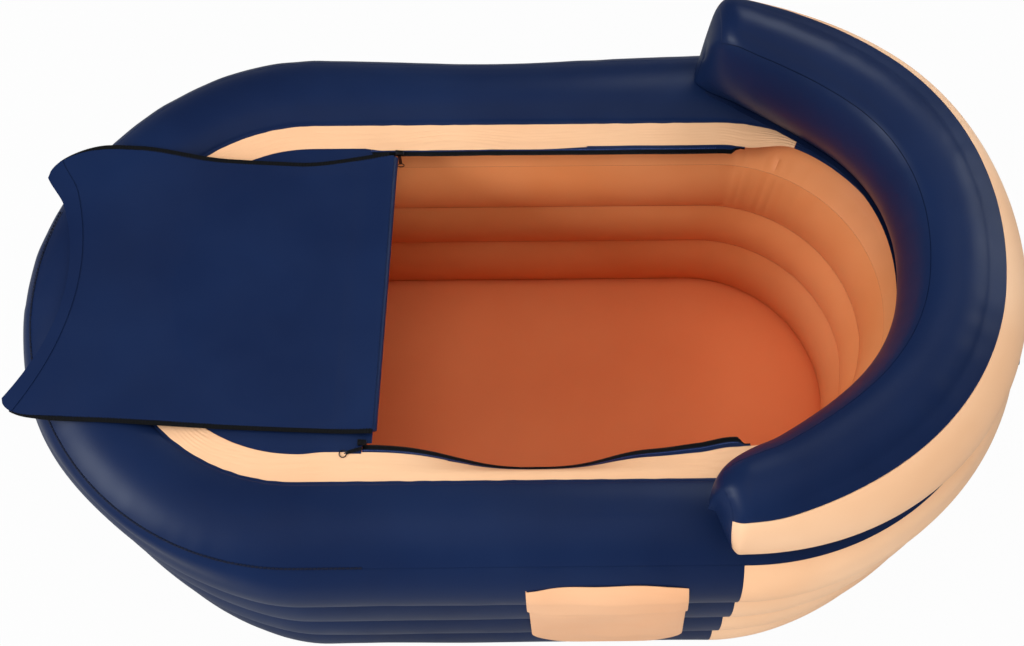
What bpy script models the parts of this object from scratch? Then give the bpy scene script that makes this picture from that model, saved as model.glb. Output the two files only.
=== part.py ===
# Inflatable bathtub with a folding zip cover, a horseshoe backrest and a side pocket
# X runs from the foot end to the head end, -Y is the pocket side, Z is up
# The origin is the middle of the underside, where the tub rests on the ground

import math

import bmesh
import bpy
from mathutils import Matrix, Vector

# Plan, taken along the outer seam of the rim, and sheet stock
seam_half_length = 0.785
seam_half_width = 0.444
sheet = 0.001
gap = 0.0003
soft_gap = 0.0008
turn_steps = 18
crease_angle = 40.0
arc_steps = 5
crown_steps = 7
seam_trim = 0.002

# Wall heights, from the ground up
ground_thickness = 0.002
floor_height = 0.030
base_lip_height = 0.020
seam_height = 0.550
outer_crease_shares = (150 / 550, 280 / 550, 415 / 550)
inner_crease_shares = (207 / 550, 353 / 550, 497 / 550)

# Wall section, as distances inwards from the outer seam
outer_crease_inset = -0.020
base_lip_inset = -0.012
base_roll_inset = 0.030
roll_share = 0.33
roll_rise_share = 0.25
rim_bulge = 0.030
ring_bulge = 0.020
inner_bulge = 0.014
inner_crease_inset = 0.186
top_crease_inset = 0.180
wall_tuck = 0.028
web_reach = 0.004
rim_split_setback = 0.006

# How far the outer walls are drawn in from the even plan, as angles from the head end
foot_draw = 0.009
head_draw = 0.004
far_draw = 0.008
corner_draws = ((0.012, -129.0, 16.0), (0.010, -50.0, 20.0))
near_angle = -90.0
near_fade = 12.0
draw_run = 0.045

# Rim top and the band round the opening
flange_inset = 0.136
flange_rise = 0.006
rim_crown = 0.021
band_width = 0.041
strip_width = 0.007
tape_width = 0.008
band_head_angle = 64.0
band_sag_angle = 54.0
band_sag_x = 0.030
band_sag_spread = 0.150
band_steps = 12
band_ramp = 0.012
zip_end_steps = 8
zip_end_counts = {"near": 1, "far": 3}

# Zip ends and cover fold
zip_start_x = -0.243
fold_x = -0.212
fold_skew = 2.8
fold_radius = 0.003
panel_setback = 0.004
panel_side_clearance = 0.0015

# Loose flap of the cover, measured from the fold and inwards from the middle of the zip
flap_length = 0.510
flap_curve_depth = 0.065
flap_curve_half = 0.200
flap_near_setback = 0.023
flap_far_setback = 0.019
flap_far_waist_setback = 0.0335
flap_far_fold_setback = 0.0115
flap_waist_run = 0.160
flap_waist_end = 0.280
flap_tip_setbacks = {"near": 0.053, "far": 0.091}
flap_corners = {"near": 0.047, "far": 0.110}
flap_corner_powers = (1.6, 0.6)
flap_rise_inset = 0.155
flap_rise_run = 0.075
flap_tape_width = 0.007
flap_tape_rows = 15
flap_tape_setback = 0.012
hem_width = 0.018
hem_lift = 0.0013
flap_columns = 20
flap_rows = 17
flap_row_power = 1.3

# Backrest section at its two ends, and how far the head end is drawn in
backrest_foot_inset = 0.016
backrest_seam_inset = 0.019
backrest_inner_seam_inset = 0.119
backrest_inner_foot_inset = 0.115
backrest_foot_lift = 0.0035
backrest_seam_height = 0.730
backrest_inner_seam_rise = 0.005
backrest_outer_bulge = 0.0175
backrest_crown = 0.017
backrest_inner_bulge = 0.027
backrest_draw = 0.052
backrest_shoulder = 0.030
backrest_end_xs = {"near": 0.294, "far": 0.330}
backrest_low_band = 0.050
backrest_bottom_steps = 8
backrest_shift = 0.025
backrest_shift_angle = -10.0
backrest_shift_turn = 62.0
backrest_hold_share = 0.55
end_pillow = 0.015
end_pillow_shares = ((0.45, 0.93), (0.82, 0.76), (1.0, 0.52))
weld_width = 0.008

# Side pocket
pocket_left_x = 0.018
pocket_right_x = 0.283
pocket_mouth_left_x = 0.008
pocket_mouth_right_x = 0.250
pocket_low_share = 140 / 550
pocket_high_share = 539 / 550
pocket_back_share = 515 / 550
pocket_mouth_depth = 0.020
pocket_depth = 0.012
pocket_foot_depth = 0.006
pocket_side_share = 0.85
pocket_side_power = 6
pocket_foot_share = 0.25
pocket_mouth_share = 0.20
pocket_corner_share = 0.12
pocket_corner = 0.022
pocket_columns = 8
pocket_rows = 16
pocket_row_power = 1.6

# Zip sliders and pulls
slider_length = 0.014
slider_width = 0.010
slider_height = 0.006
slider_bevel = 0.0012
pull_length = 0.026
pull_width = 0.0055
pull_thickness = 0.0014
pull_bevel = 0.0004
ring_radius = 0.0055
ring_wire = 0.0008
near_pull_angle = 197.0
near_slider_shift = 0.006

# Air valves
valve_disc_radius = 0.011
valve_disc_height = 0.0018
valve_neck_radius = 0.0062
valve_neck_height = 0.0060
valve_bore_radius = 0.0042
valve_stem_length = 0.0040
valve_cap_radius = 0.0080
valve_cap_height = 0.0025
head_valve_angles = (-7.5, -13.2)
head_valve_facet = 3
valve_steps = 16

# Places that follow from the sizes above
straight_half = seam_half_length - seam_half_width
web_space = sheet / 2 + gap
band_bottom = seam_height + flange_rise + soft_gap
band_top = band_bottom + sheet
band_outer = flange_inset + gap
strip_outer = flange_inset + band_width
tape_outer = strip_outer + strip_width
tape_inner = tape_outer + tape_width
zip_lane = seam_half_width - (tape_outer + tape_inner) / 2
flap_near_half = zip_lane - flap_near_setback
flap_far_half = zip_lane - flap_far_setback
flap_far_waist_half = zip_lane - flap_far_waist_setback
flap_far_fold_half = zip_lane - flap_far_fold_setback
flap_tips = {side: zip_lane - setback for side, setback in flap_tip_setbacks.items()}
outer_crease_heights = [seam_height * share for share in outer_crease_shares]
inner_crease_heights = [seam_height * share for share in inner_crease_shares]
pocket_low = seam_height * pocket_low_share
pocket_high = seam_height * pocket_high_share
pocket_back_high = seam_height * pocket_back_share
axis_height = band_top + soft_gap + fold_radius
flap_bottom = axis_height + fold_radius - sheet
axis_point = Vector((fold_x, 0.0, axis_height))
axis_along = Vector((math.sin(math.radians(fold_skew)), math.cos(math.radians(fold_skew)), 0.0))
axis_away = Vector((-axis_along.y, axis_along.x, 0.0))

colours = {
    "navy_vinyl": ((0.012, 0.024, 0.085, 1.0), 0.38),
    "peach_vinyl": ((0.95, 0.58, 0.35, 1.0), 0.45),
    "orange_vinyl": ((0.68, 0.22, 0.07, 1.0), 0.42),
    "clear_vinyl": ((0.55, 0.50, 0.45, 1.0), 0.35),
    "zip_tape": ((0.006, 0.006, 0.007, 1.0), 0.75),
    "zip_metal": ((0.010, 0.010, 0.011, 1.0), 0.30),
    "valve_plastic": ((0.020, 0.022, 0.035, 1.0), 0.40),
}


def clear_scene():
    for old in list(bpy.data.objects):
        bpy.data.objects.remove(old)


def make_material(name):
    colour, roughness = colours[name]
    material = bpy.data.materials.new(name)
    material.use_nodes = True
    shader = material.node_tree.nodes["Principled BSDF"]
    shader.inputs["Base Color"].default_value = colour
    shader.inputs["Roughness"].default_value = roughness
    shader.inputs["Metallic"].default_value = 0.0
    return material


def add_part(name, data, material):
    data.materials.append(make_material(material))
    part = bpy.data.objects.new(name, data)
    parts.objects.link(part)
    return part


def add_mesh(name, bm, material):
    bmesh.ops.recalc_face_normals(bm, faces=bm.faces)
    mesh = bpy.data.meshes.new(name)
    bm.to_mesh(mesh)
    bm.free()
    mesh.shade_smooth()
    return add_part(name, mesh, material)


# Sections are lists of (inset, height) points that run up the outside, over the top,
# down the inside and back along the bottom


def arc(start, end, bulge, steps, offset=0.0, trim=0.0):
    start = Vector(start)
    end = Vector(end)
    chord = (end - start).length
    along = (end - start) / chord
    outwards = Vector((-along.y, along.x))
    radius = (chord * chord / 4 + bulge * bulge) / (2 * bulge)
    centre = (start + end) / 2 + outwards * (bulge - radius)
    half = math.asin(chord / (2 * radius))
    limit = half - trim / radius
    points = []
    for step in range(steps + 1):
        angle = min(max(-half + 2 * half * step / steps, -limit), limit)
        ray = outwards * math.cos(angle) + along * math.sin(angle)
        points.append(tuple(centre + ray * (radius - offset)))
    return points


def skin_section(start, end, bulge, steps, trim=0.0):
    outside = arc(start, end, bulge, steps, trim=trim)
    return outside + arc(start, end, bulge, steps, sheet, trim)[::-1]


def strip_section(outer, inner, low):
    return [(outer, low), (outer, low + sheet), (inner, low + sheet), (inner, low)]


def smooth_step(value):
    value = min(max(value, 0.0), 1.0)
    return value * value * (3 - 2 * value)


def rim_height(inset):
    radius = (flange_inset * flange_inset / 4 + rim_crown * rim_crown) / (2 * rim_crown)
    across = min(max(inset, 0.0), flange_inset) - flange_inset / 2
    dome = math.sqrt(radius * radius - across * across) - (radius - rim_crown)
    slope = flange_rise * min(max(inset / flange_inset, 0.0), 1.0)
    over_band = smooth_step(1 + (inset - flange_inset) / band_ramp)
    return seam_height + slope + dome + (band_top - seam_height - flange_rise) * over_band


def rim_swell(height):
    start = Vector((outer_crease_inset, outer_crease_heights[2]))
    end = Vector((0.0, seam_height))
    if height <= (start.y + end.y) / 2:
        return -outer_crease_inset + ring_bulge
    chord = (end - start).length
    radius = (chord * chord / 4 + rim_bulge * rim_bulge) / (2 * rim_bulge)
    outwards = Vector((start.y - end.y, end.x - start.x)) / chord
    centre = (start + end) / 2 + outwards * (rim_bulge - radius)
    rise = min(height, seam_height) - centre.y
    swell = math.sqrt(radius * radius - rise * rise) - centre.x
    return min(swell, -outer_crease_inset + ring_bulge)


# Sweeps carry a section round the plan of the tub in straight runs and turns


def section_loop(bm, section, centre_x, angle):
    place = math.radians(angle)
    loop = []
    for inset, height in section:
        reach = seam_half_width - inset
        spot = (centre_x + reach * math.cos(place), reach * math.sin(place), height)
        loop.append(bm.verts.new(spot))
    return [bm.edges.new(pair) for pair in zip(loop, loop[1:] + loop[:1])]


def run(bm, edges, distance, steps):
    for _ in range(steps):
        made = bmesh.ops.extrude_edge_only(bm, edges=edges)["geom"]
        moved = [item for item in made if isinstance(item, bmesh.types.BMVert)]
        bmesh.ops.translate(bm, verts=moved, vec=(distance / steps, 0.0, 0.0))
        edges = [item for item in made if isinstance(item, bmesh.types.BMEdge)]
    return edges


def turn(bm, edges, centre_x, angle):
    steps = max(1, round(turn_steps * abs(angle) / 180))
    ends = {vert for edge in edges for vert in edge.verts}
    made = bmesh.ops.spin(
        bm,
        geom=list(ends) + edges,
        cent=(centre_x, 0.0, 0.0),
        axis=(0.0, 0.0, 1.0),
        angle=math.radians(angle),
        steps=steps,
    )
    return [item for item in made["geom_last"] if isinstance(item, bmesh.types.BMEdge)]


def sweep(name, section, material, start, legs, closed=False, shape=None):
    bm = bmesh.new()
    first = section_loop(bm, section, *start)
    last = first
    for kind, amount, detail in legs:
        last = run(bm, last, amount, detail) if kind == "run" else turn(bm, last, detail, amount)
    if closed:
        bmesh.ops.remove_doubles(bm, verts=bm.verts, dist=gap / 10)
    else:
        open_edges = [edge for edge in bm.edges if edge.is_boundary]
        bmesh.ops.holes_fill(bm, edges=open_edges, sides=0)
    if shape:
        for vert in bm.verts:
            vert.co = shape(vert.co.copy())
        bmesh.ops.triangulate(bm, faces=bm.faces, quad_method="SHORT_EDGE")
    return add_mesh(name, bm, material)


def all_round(name, section, material, shape=None):
    legs = (
        ("run", -2 * straight_half, 2),
        ("turn", -180.0, -straight_half),
        ("run", 2 * straight_half, 2),
        ("turn", -180.0, straight_half),
    )
    return sweep(name, section, material, (straight_half, -90.0), legs, True, shape)


def foot_half(name, section, material, setback=0.0):
    reach = straight_half - setback - gap
    legs = (
        ("run", -reach, 1),
        ("run", -straight_half, 1),
        ("turn", -180.0, -straight_half),
        ("run", straight_half, 1),
        ("run", reach, 1),
    )
    return sweep(name, section, material, (reach, -90.0), legs, shape=draw_wall)


def head_half(name, section, material, setback=0.0):
    legs = [("turn", 180.0, straight_half)]
    if setback:
        legs = [("run", setback, 1)] + legs + [("run", -setback, 1)]
    start = (straight_half - setback, -90.0)
    return sweep(name, section, material, start, legs, shape=draw_wall)


def wall_draw(x, y):
    beyond = abs(x) - straight_half
    if beyond <= 0:
        along = x / straight_half
        ends = (foot_draw + head_draw + (head_draw - foot_draw) * along) / 2
        return ends + far_draw * (1 - abs(along)) if y > 0 else 0.0
    angle = math.degrees(math.atan2(y, math.copysign(beyond, x)))
    amount = foot_draw if x < 0 else head_draw
    for corner, place, spread in corner_draws:
        amount += corner * math.exp(-(((angle - place) / spread) ** 2))
    return amount * (1 - math.exp(-(((angle - near_angle) / near_fade) ** 2)))


def draw_shift(co):
    inset = seam_half_width - math.hypot(max(abs(co.x) - straight_half, 0.0), co.y)
    across = (inner_crease_inset - inset) / (inner_crease_inset - outer_crease_inset)
    across = min(max(across, 0.0), 1.0)
    return wall_draw(co.x, co.y) * across * smooth_step((seam_height - co.z) / draw_run)


def move_outline(co, shift):
    beyond = max(abs(co.x) - straight_half, 0.0)
    reach = math.hypot(beyond, co.y)
    scale = (reach - shift) / reach
    if beyond > 0:
        co.x = math.copysign(straight_half + beyond * scale, co.x)
    co.y *= scale
    return co


def draw_wall(co):
    return move_outline(co, draw_shift(co))


def stadium(inset, x_stop=None):
    reach = seam_half_width - inset
    outline = []
    for step in range(turn_steps + 1):
        angle = math.radians(90.0 + 180.0 * step / turn_steps)
        outline.append((-straight_half + reach * math.cos(angle), reach * math.sin(angle)))
    if x_stop is not None:
        return outline
    return outline + [(-x, -y) for x, y in outline]


def flat_sheet(name, outline, low, high, material):
    curve = bpy.data.curves.new(name, "CURVE")
    curve.dimensions = "2D"
    curve.fill_mode = "BOTH"
    curve.extrude = (high - low) / 2
    spline = curve.splines.new("POLY")
    spline.points.add(len(outline) - 1)
    for point, (x, y) in zip(spline.points, outline):
        point.co = (x, y, 0.0, 1.0)
    spline.use_cyclic_u = True
    part = add_part(name, curve, material)
    part.location.z = (low + high) / 2
    return part


# Base and floor


def make_base():
    flat_sheet("ground_sheet", stadium(base_roll_inset), 0.0, ground_thickness, "navy_vinyl")
    low = ground_thickness + gap
    inset = inner_crease_inset + gap
    flat_sheet("floor_pad", stadium(inset), low, floor_height, "orange_vinyl")


# Wall rings, each an air chamber with its outer sheets, tied by webs at the creases


def ring_corners(index):
    low_out = (outer_crease_inset, outer_crease_heights[index - 1] + web_space)
    low_in = (inner_crease_inset, inner_crease_heights[index - 1] + web_space)
    if index == 0:
        low_out = (base_lip_inset, base_lip_height)
        low_in = (inner_crease_inset, floor_height + gap)
    top_out = (outer_crease_inset, outer_crease_heights[index] - web_space)
    top_inset = top_crease_inset if index == 2 else inner_crease_inset
    top_in = (top_inset, inner_crease_heights[index] - web_space)
    return low_out, top_out, top_in, low_in


def make_ring(index, name):
    low_out, top_out, top_in, low_in = ring_corners(index)
    section = arc(low_out, top_out, ring_bulge, arc_steps, sheet + gap)
    section += arc(top_in, low_in, inner_bulge, arc_steps)
    if index == 0:
        rest = ground_thickness + gap
        section += [(inner_crease_inset, rest), (base_roll_inset, rest)]
        section += [(base_roll_inset * roll_share, rest + base_lip_height * roll_rise_share)]
    all_round("chamber_" + name, section, "orange_vinyl", draw_wall)
    skin = skin_section(low_out, top_out, ring_bulge, arc_steps)
    foot_half("foot_skin_" + name, skin, "navy_vinyl")
    head_half("head_skin_" + name, skin, "peach_vinyl")


def make_web(index, name):
    inner = top_crease_inset if index == 2 else inner_crease_inset
    outer_crease = Vector((outer_crease_inset, outer_crease_heights[index]))
    inner_crease = Vector((inner, inner_crease_heights[index]))
    along = (inner_crease - outer_crease).normalized()
    up = Vector((-along.y, along.x)) * sheet / 2
    start = outer_crease + along * web_reach
    end = inner_crease - along * web_reach
    section = [tuple(spot) for spot in (start - up, start + up, end + up, end - up)]
    all_round("web_" + name, section, "clear_vinyl", draw_wall)


def rim_side():
    return (outer_crease_inset, outer_crease_heights[2] + web_space), (0.0, seam_height)


def make_rim():
    low_out, seam = rim_side()
    flange = (flange_inset, seam_height + flange_rise)
    section = arc(low_out, seam, rim_bulge, arc_steps, sheet + gap, seam_trim)
    section += arc(seam, flange, rim_crown, crown_steps, sheet + gap, seam_trim)
    section += [(flange_inset + wall_tuck / 2, seam_height - wall_tuck)]
    section += [(top_crease_inset, inner_crease_heights[2] + web_space)]
    all_round("chamber_rim", section, "orange_vinyl", draw_wall)
    skin = skin_section(low_out, seam, rim_bulge, arc_steps, seam_trim)
    foot_half("foot_skin_rim", skin, "navy_vinyl", rim_split_setback)
    head_half("head_skin_rim", skin, "peach_vinyl", rim_split_setback)
    top = skin_section(seam, flange, rim_crown, crown_steps, seam_trim / 2)
    all_round("top_sheet", top, "navy_vinyl")


# Flat band round the opening, the strip that carries the zip, and the zip tapes


def sag_near_edge(co):
    along = seam_half_width + co.y - flange_inset
    if co.y > 0 or along < 0:
        return co
    share = math.exp(-(((co.x - band_sag_x) / band_sag_spread) ** 2))
    angle = math.radians(band_sag_angle) * share
    co.y = flange_inset - seam_half_width + along * math.cos(angle)
    co.z -= along * math.sin(angle)
    return co


def make_band():
    bend = (90.0 - band_head_angle) / zip_end_steps
    zip_length = straight_half - zip_start_x
    foot_length = straight_half + zip_start_x
    head_legs = [("turn", -bend, straight_half)] * zip_end_steps
    foot_legs = [
        ("run", -zip_length, band_steps),
        ("run", -foot_length, 1),
        ("turn", -180.0, -straight_half),
        ("run", foot_length, 1),
        ("run", zip_length, band_steps),
    ]
    legs = head_legs + foot_legs + head_legs
    start = (straight_half, -band_head_angle)
    section = strip_section(band_outer, strip_outer - gap, band_bottom)
    sweep("flange_band", section, "peach_vinyl", start, legs, shape=sag_near_edge)
    gap_angle = math.degrees(gap / (seam_half_width - strip_outer)) * 2
    start = (straight_half, gap_angle - band_head_angle)
    legs = (("turn", 2 * (band_head_angle - gap_angle), straight_half),)
    sweep("flange_head", section, "navy_vinyl", start, legs)


def make_zip_side(side, facing):
    length = straight_half - zip_start_x
    count = zip_end_counts[side]
    bend = (90.0 - band_head_angle) / zip_end_steps
    start = (straight_half, facing * (90.0 - bend * count))
    for name, outer, inner, material in (
        ("zip_strip_", strip_outer, tape_outer - gap, "navy_vinyl"),
        ("zip_tape_", tape_outer, tape_inner, "zip_tape"),
    ):
        section = strip_section(outer, inner, band_bottom)
        legs = [("turn", facing * bend, straight_half)] * count
        legs.append(("run", -length, band_steps))
        sweep(name + side, section, material, start, legs, shape=sag_near_edge)


# Cover: a fixed panel over the foot end and a loose flap that folds back over it


def make_panel():
    outline = stadium(strip_outer, x_stop=zip_start_x)
    half = seam_half_width - strip_outer
    narrow = seam_half_width - tape_inner - panel_side_clearance
    wide_x = zip_start_x - panel_side_clearance
    skew = math.tan(math.radians(fold_skew))
    edge_x = fold_x - panel_setback
    outline += [(wide_x, -half), (wide_x, -narrow), (edge_x - narrow * skew, -narrow)]
    outline += [(edge_x + narrow * skew, narrow), (wide_x, narrow), (wide_x, half)]
    flat_sheet("cover_panel", outline, band_bottom, band_top, "navy_vinyl")


def flap_end(across):
    return flap_length + flap_curve_depth * (across / flap_curve_half) ** 2


def flap_half(side, away):
    if side == "near":
        return flap_near_half
    waist = smooth_step(away / flap_waist_run)
    wide = smooth_step((away - flap_waist_end) / flap_waist_run)
    half = flap_far_fold_half + (flap_far_waist_half - flap_far_fold_half) * waist
    return half + (flap_far_half - flap_far_waist_half) * wide


def flap_side(side, row):
    tip = flap_tips[side]
    start = fold_radius + gap
    away = start + (flap_end(tip) - start) * row
    bend = max(1 - (flap_end(tip) - away) / flap_corners[side], 0.0)
    inner, outer = flap_corner_powers
    half = tip + (flap_half(side, away) - tip) * (1 - bend**inner) ** outer
    return Vector((half if side == "far" else -half, away))


def flap_patch(column, row):
    start = flap_side("near", 0.0).lerp(flap_side("far", 0.0), column)
    across = flap_tips["far"] * column - flap_tips["near"] * (1 - column)
    end = Vector((across, flap_end(across)))
    corners = start.lerp(flap_side("near", 1.0).lerp(flap_side("far", 1.0), column), row)
    sides = flap_side("near", row).lerp(flap_side("far", row), column)
    return sides + start.lerp(end, row) - corners


def flap_row(column, row):
    if row >= flap_rows:
        return 1.0
    across = flap_tips["far"] * column - flap_tips["near"] * (1 - column)
    hem_start = 1 - hem_width / (flap_end(across) - fold_radius)
    return hem_start * (1 - (1 - row / (flap_rows - 1)) ** flap_row_power)


def flap_spot(across, away, lift):
    flat = axis_point + axis_along * across + axis_away * away
    beyond = max(abs(flat.x) - straight_half, 0.0)
    inset = seam_half_width - math.hypot(beyond, flat.y)
    crest = seam_height + flange_rise / 2 + rim_crown + 2 * soft_gap + sheet
    rise = smooth_step((flap_rise_inset - inset) / flap_rise_run)
    flat.z = flap_bottom + (crest - flap_bottom) * rise + lift
    return flat


def flap_surface(name, material, place, columns, rows, first_row=0, lift=0.0):
    bm = bmesh.new()
    bmesh.ops.create_grid(bm, x_segments=columns, y_segments=rows, size=1.0)
    for vert in bm.verts:
        column = (vert.co.x + 1) / 2
        row = first_row + round((vert.co.y + 1) / 2 * rows)
        vert.co = flap_spot(*place(column, row), lift)
    bmesh.ops.triangulate(bm, faces=bm.faces, quad_method="SHORT_EDGE")
    part = add_mesh(name, bm, material)
    part.data.transform(Matrix.Translation(-axis_point))
    part.location = axis_point
    wall = part.modifiers.new("thickness", "SOLIDIFY")
    wall.thickness = sheet
    wall.offset = 1.0
    return part


def make_flap():
    def body(column, row):
        return flap_patch(column, flap_row(column, row))

    flap_surface("cover_flap", "navy_vinyl", body, flap_columns, flap_rows)
    last = flap_rows - 1
    flap_surface("flap_hem", "navy_vinyl", body, flap_columns, 1, last, hem_lift)
    for side, facing in (("near", -1), ("far", 1)):

        def tape(column, row, side=side, facing=facing):
            share = max(flap_row((facing + 1) / 2, row), flap_tape_setback / flap_length)
            edge = flap_side(side, share)
            out = column if facing > 0 else 1 - column
            edge.x += facing * (gap + (flap_tape_width - gap) * out)
            return edge

        flap_surface("flap_tape_" + side, "zip_tape", tape, 1, flap_tape_rows)


def make_fold():
    length = flap_near_half + flap_far_fold_half
    middle = axis_point + axis_along * (flap_far_fold_half - flap_near_half) / 2
    bpy.ops.mesh.primitive_cylinder_add(
        vertices=valve_steps, radius=fold_radius, depth=length, location=middle
    )
    roll = bpy.context.object
    roll.rotation_euler = axis_along.to_track_quat("Z", "Y").to_euler()
    adopt(roll, "cover_fold", "navy_vinyl")


def adopt(part, name, material):
    for owner in list(part.users_collection):
        owner.objects.unlink(part)
    parts.objects.link(part)
    part.name = name
    part.data.name = name
    part.data.shade_smooth()
    part.data.set_sharp_from_angle(angle=math.radians(crease_angle))
    part.data.materials.append(make_material(material))


# Zip sliders and their pulls


def make_block(name, size, place, bevel, material):
    bm = bmesh.new()
    bmesh.ops.create_cube(bm, size=1.0)
    bmesh.ops.scale(bm, vec=size, verts=bm.verts)
    part = add_mesh(name, bm, material)
    part.data.shade_flat()
    part.location = place
    edge = part.modifiers.new("edges", "BEVEL")
    edge.width = bevel
    edge.segments = 2
    return part


def slider_spot(side):
    if side == "near":
        y = near_slider_shift - zip_lane
        return Vector((zip_start_x, y, band_top + gap + slider_height / 2))
    start = fold_x + zip_lane * math.tan(math.radians(fold_skew)) + panel_setback
    return Vector((start, zip_lane, band_top + gap + slider_height / 2))


def pull_axis(side):
    spot = slider_spot(side)
    if side == "near":
        spot.z = band_top + soft_gap + pull_thickness / 2
        spot.y -= (slider_width + pull_width) / 2 + soft_gap
        return spot
    spot.y -= slider_width / 2 + soft_gap + pull_thickness / 2
    return spot


def make_pull(side):
    bm = bmesh.new()
    bmesh.ops.create_cube(bm, size=1.0)
    bmesh.ops.scale(bm, vec=(pull_length, pull_width, pull_thickness), verts=bm.verts)
    bmesh.ops.translate(bm, vec=(pull_length / 2, 0.0, 0.0), verts=bm.verts)
    pull = add_mesh("pull_" + side, bm, "zip_metal")
    pull.data.shade_flat()
    edge = pull.modifiers.new("edges", "BEVEL")
    edge.width = pull_bevel
    edge.segments = 2
    bpy.ops.mesh.primitive_torus_add(
        major_radius=ring_radius, minor_radius=ring_wire, major_segments=20, minor_segments=8
    )
    ring = bpy.context.object
    adopt(ring, "ring_tool_" + side, "zip_metal")
    parts.objects.unlink(ring)
    tools.objects.link(ring)
    ring.hide_render = True
    ring.display_type = "WIRE"
    ring.location.x = pull_length + ring_radius - ring_wire
    ring.parent = pull
    join = pull.modifiers.new("ring", "BOOLEAN")
    join.operation = "UNION"
    join.object = ring
    join.solver = "EXACT"
    pull.location = pull_axis(side)
    if side == "near":
        pull.rotation_euler.z = math.radians(near_pull_angle)
    else:
        pull.rotation_euler = (math.radians(90), math.radians(90), 0.0)
    return pull


def make_zip_hardware(side):
    size = (slider_length, slider_width, slider_height)
    make_block("slider_" + side, size, slider_spot(side), slider_bevel, "zip_metal")
    make_pull(side)


# Backrest: a horseshoe air chamber on the rim, with its own sheets


def draw_in(co):
    beyond = max(co.x - straight_half, 0.0)
    reach = math.hypot(beyond, co.y)
    inset = seam_half_width - reach
    turned = 1 - (1 - beyond / reach) ** 3
    moved = inset + backrest_draw * min(max(inset / backrest_shoulder, 0.0), 1.0) * turned
    angle = math.degrees(math.atan2(co.y, beyond))
    around = smooth_step((angle - backrest_shift_angle) / backrest_shift_turn)
    lean = (co.z - seam_height) / (backrest_seam_height - seam_height)
    outer = 1 - min(max(inset / backrest_inner_foot_inset, 0.0), 1.0)
    held = backrest_hold_share * (1 - min(max(lean, 0.0), 1.0)) * outer
    moved -= backrest_shift * around * (1 - held)
    low = (seam_height + rim_crown + backrest_low_band - co.z) / (backrest_low_band / 2)
    co.z += (rim_height(moved) - rim_height(inset)) * min(max(low, 0.0), 1.0)
    return move_outline(co, moved - inset)


def backrest_sweep(name, section, material):
    near = straight_half - backrest_end_xs["near"]
    far = straight_half - backrest_end_xs["far"]
    legs = (("run", near, 1), ("turn", 180.0, straight_half), ("run", -far, 1))
    start = (backrest_end_xs["near"], -90.0)
    return sweep(name, section, material, start, legs, shape=draw_in)


def backrest_points():
    foot = (backrest_foot_inset, rim_height(backrest_foot_inset) + backrest_foot_lift)
    seam = (backrest_seam_inset, backrest_seam_height)
    inner_seam_height = backrest_seam_height + backrest_inner_seam_rise
    inner_seam = (backrest_inner_seam_inset, inner_seam_height)
    inner_height = rim_height(backrest_inner_foot_inset) + backrest_foot_lift
    return foot, seam, inner_seam, (backrest_inner_foot_inset, inner_height)


def backrest_outline(offset):
    foot, seam, inner_seam, inner_foot = backrest_points()
    outline = arc(foot, seam, backrest_outer_bulge, arc_steps, offset, seam_trim)
    outline += arc(seam, inner_seam, backrest_crown, arc_steps, offset, seam_trim)
    outline += arc(inner_seam, inner_foot, backrest_inner_bulge, arc_steps, offset, seam_trim)
    for step in range(1, backrest_bottom_steps):
        share = step / backrest_bottom_steps
        inset = inner_foot[0] + (foot[0] - inner_foot[0]) * share
        outline.append((inset, rim_height(inset) + soft_gap))
    return outline


def end_pillow_part(side, facing):
    bm = bmesh.new()
    loop = []
    for inset, height in backrest_outline(sheet):
        y = facing * (seam_half_width - inset)
        spot = draw_in(Vector((backrest_end_xs[side] - gap, y, height)))
        loop.append(bm.verts.new(spot))
    edges = [bm.edges.new(pair) for pair in zip(loop, loop[1:] + loop[:1])]
    middle = sum((vert.co for vert in loop), Vector()) / len(loop)
    done_shift = 0.0
    done_size = 1.0
    for shift, size in end_pillow_shares:
        made = bmesh.ops.extrude_edge_only(bm, edges=edges)["geom"]
        verts = [item for item in made if isinstance(item, bmesh.types.BMVert)]
        edges = [item for item in made if isinstance(item, bmesh.types.BMEdge)]
        bmesh.ops.translate(bm, verts=verts, vec=((done_shift - shift) * end_pillow, 0.0, 0.0))
        grow = size / done_size
        space = Matrix.Translation(-middle)
        bmesh.ops.scale(bm, verts=verts, vec=(1.0, grow, grow), space=space)
        done_shift, done_size = shift, size
    open_edges = [edge for edge in bm.edges if edge.is_boundary]
    bmesh.ops.holes_fill(bm, edges=open_edges, sides=0)
    add_mesh("backrest_end_" + side, bm, "navy_vinyl")


def make_backrest():
    foot, seam, inner_seam, inner_foot = backrest_points()
    backrest_sweep("backrest_chamber", backrest_outline(sheet + soft_gap), "clear_vinyl")
    for name, ends, bulge, material in (
        ("backrest_outer_sheet", (foot, seam), backrest_outer_bulge, "peach_vinyl"),
        ("backrest_top_sheet", (seam, inner_seam), backrest_crown, "navy_vinyl"),
        ("backrest_inner_sheet", (inner_seam, inner_foot), backrest_inner_bulge, "navy_vinyl"),
    ):
        backrest_sweep(name, skin_section(*ends, bulge, arc_steps, seam_trim), material)
    outer = backrest_inner_foot_inset + gap
    section = []
    for inset, lift in ((outer, 0.0), (outer, sheet), (outer + weld_width, sheet)):
        section.append((inset, rim_height(inset) + soft_gap + lift))
    section.append((outer + weld_width, rim_height(outer + weld_width) + soft_gap))
    backrest_sweep("backrest_weld", section, "clear_vinyl")
    end_pillow_part("near", -1)
    end_pillow_part("far", 1)


# Side pocket: an open bag that hangs on the wall, with its mouth at the rim


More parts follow.
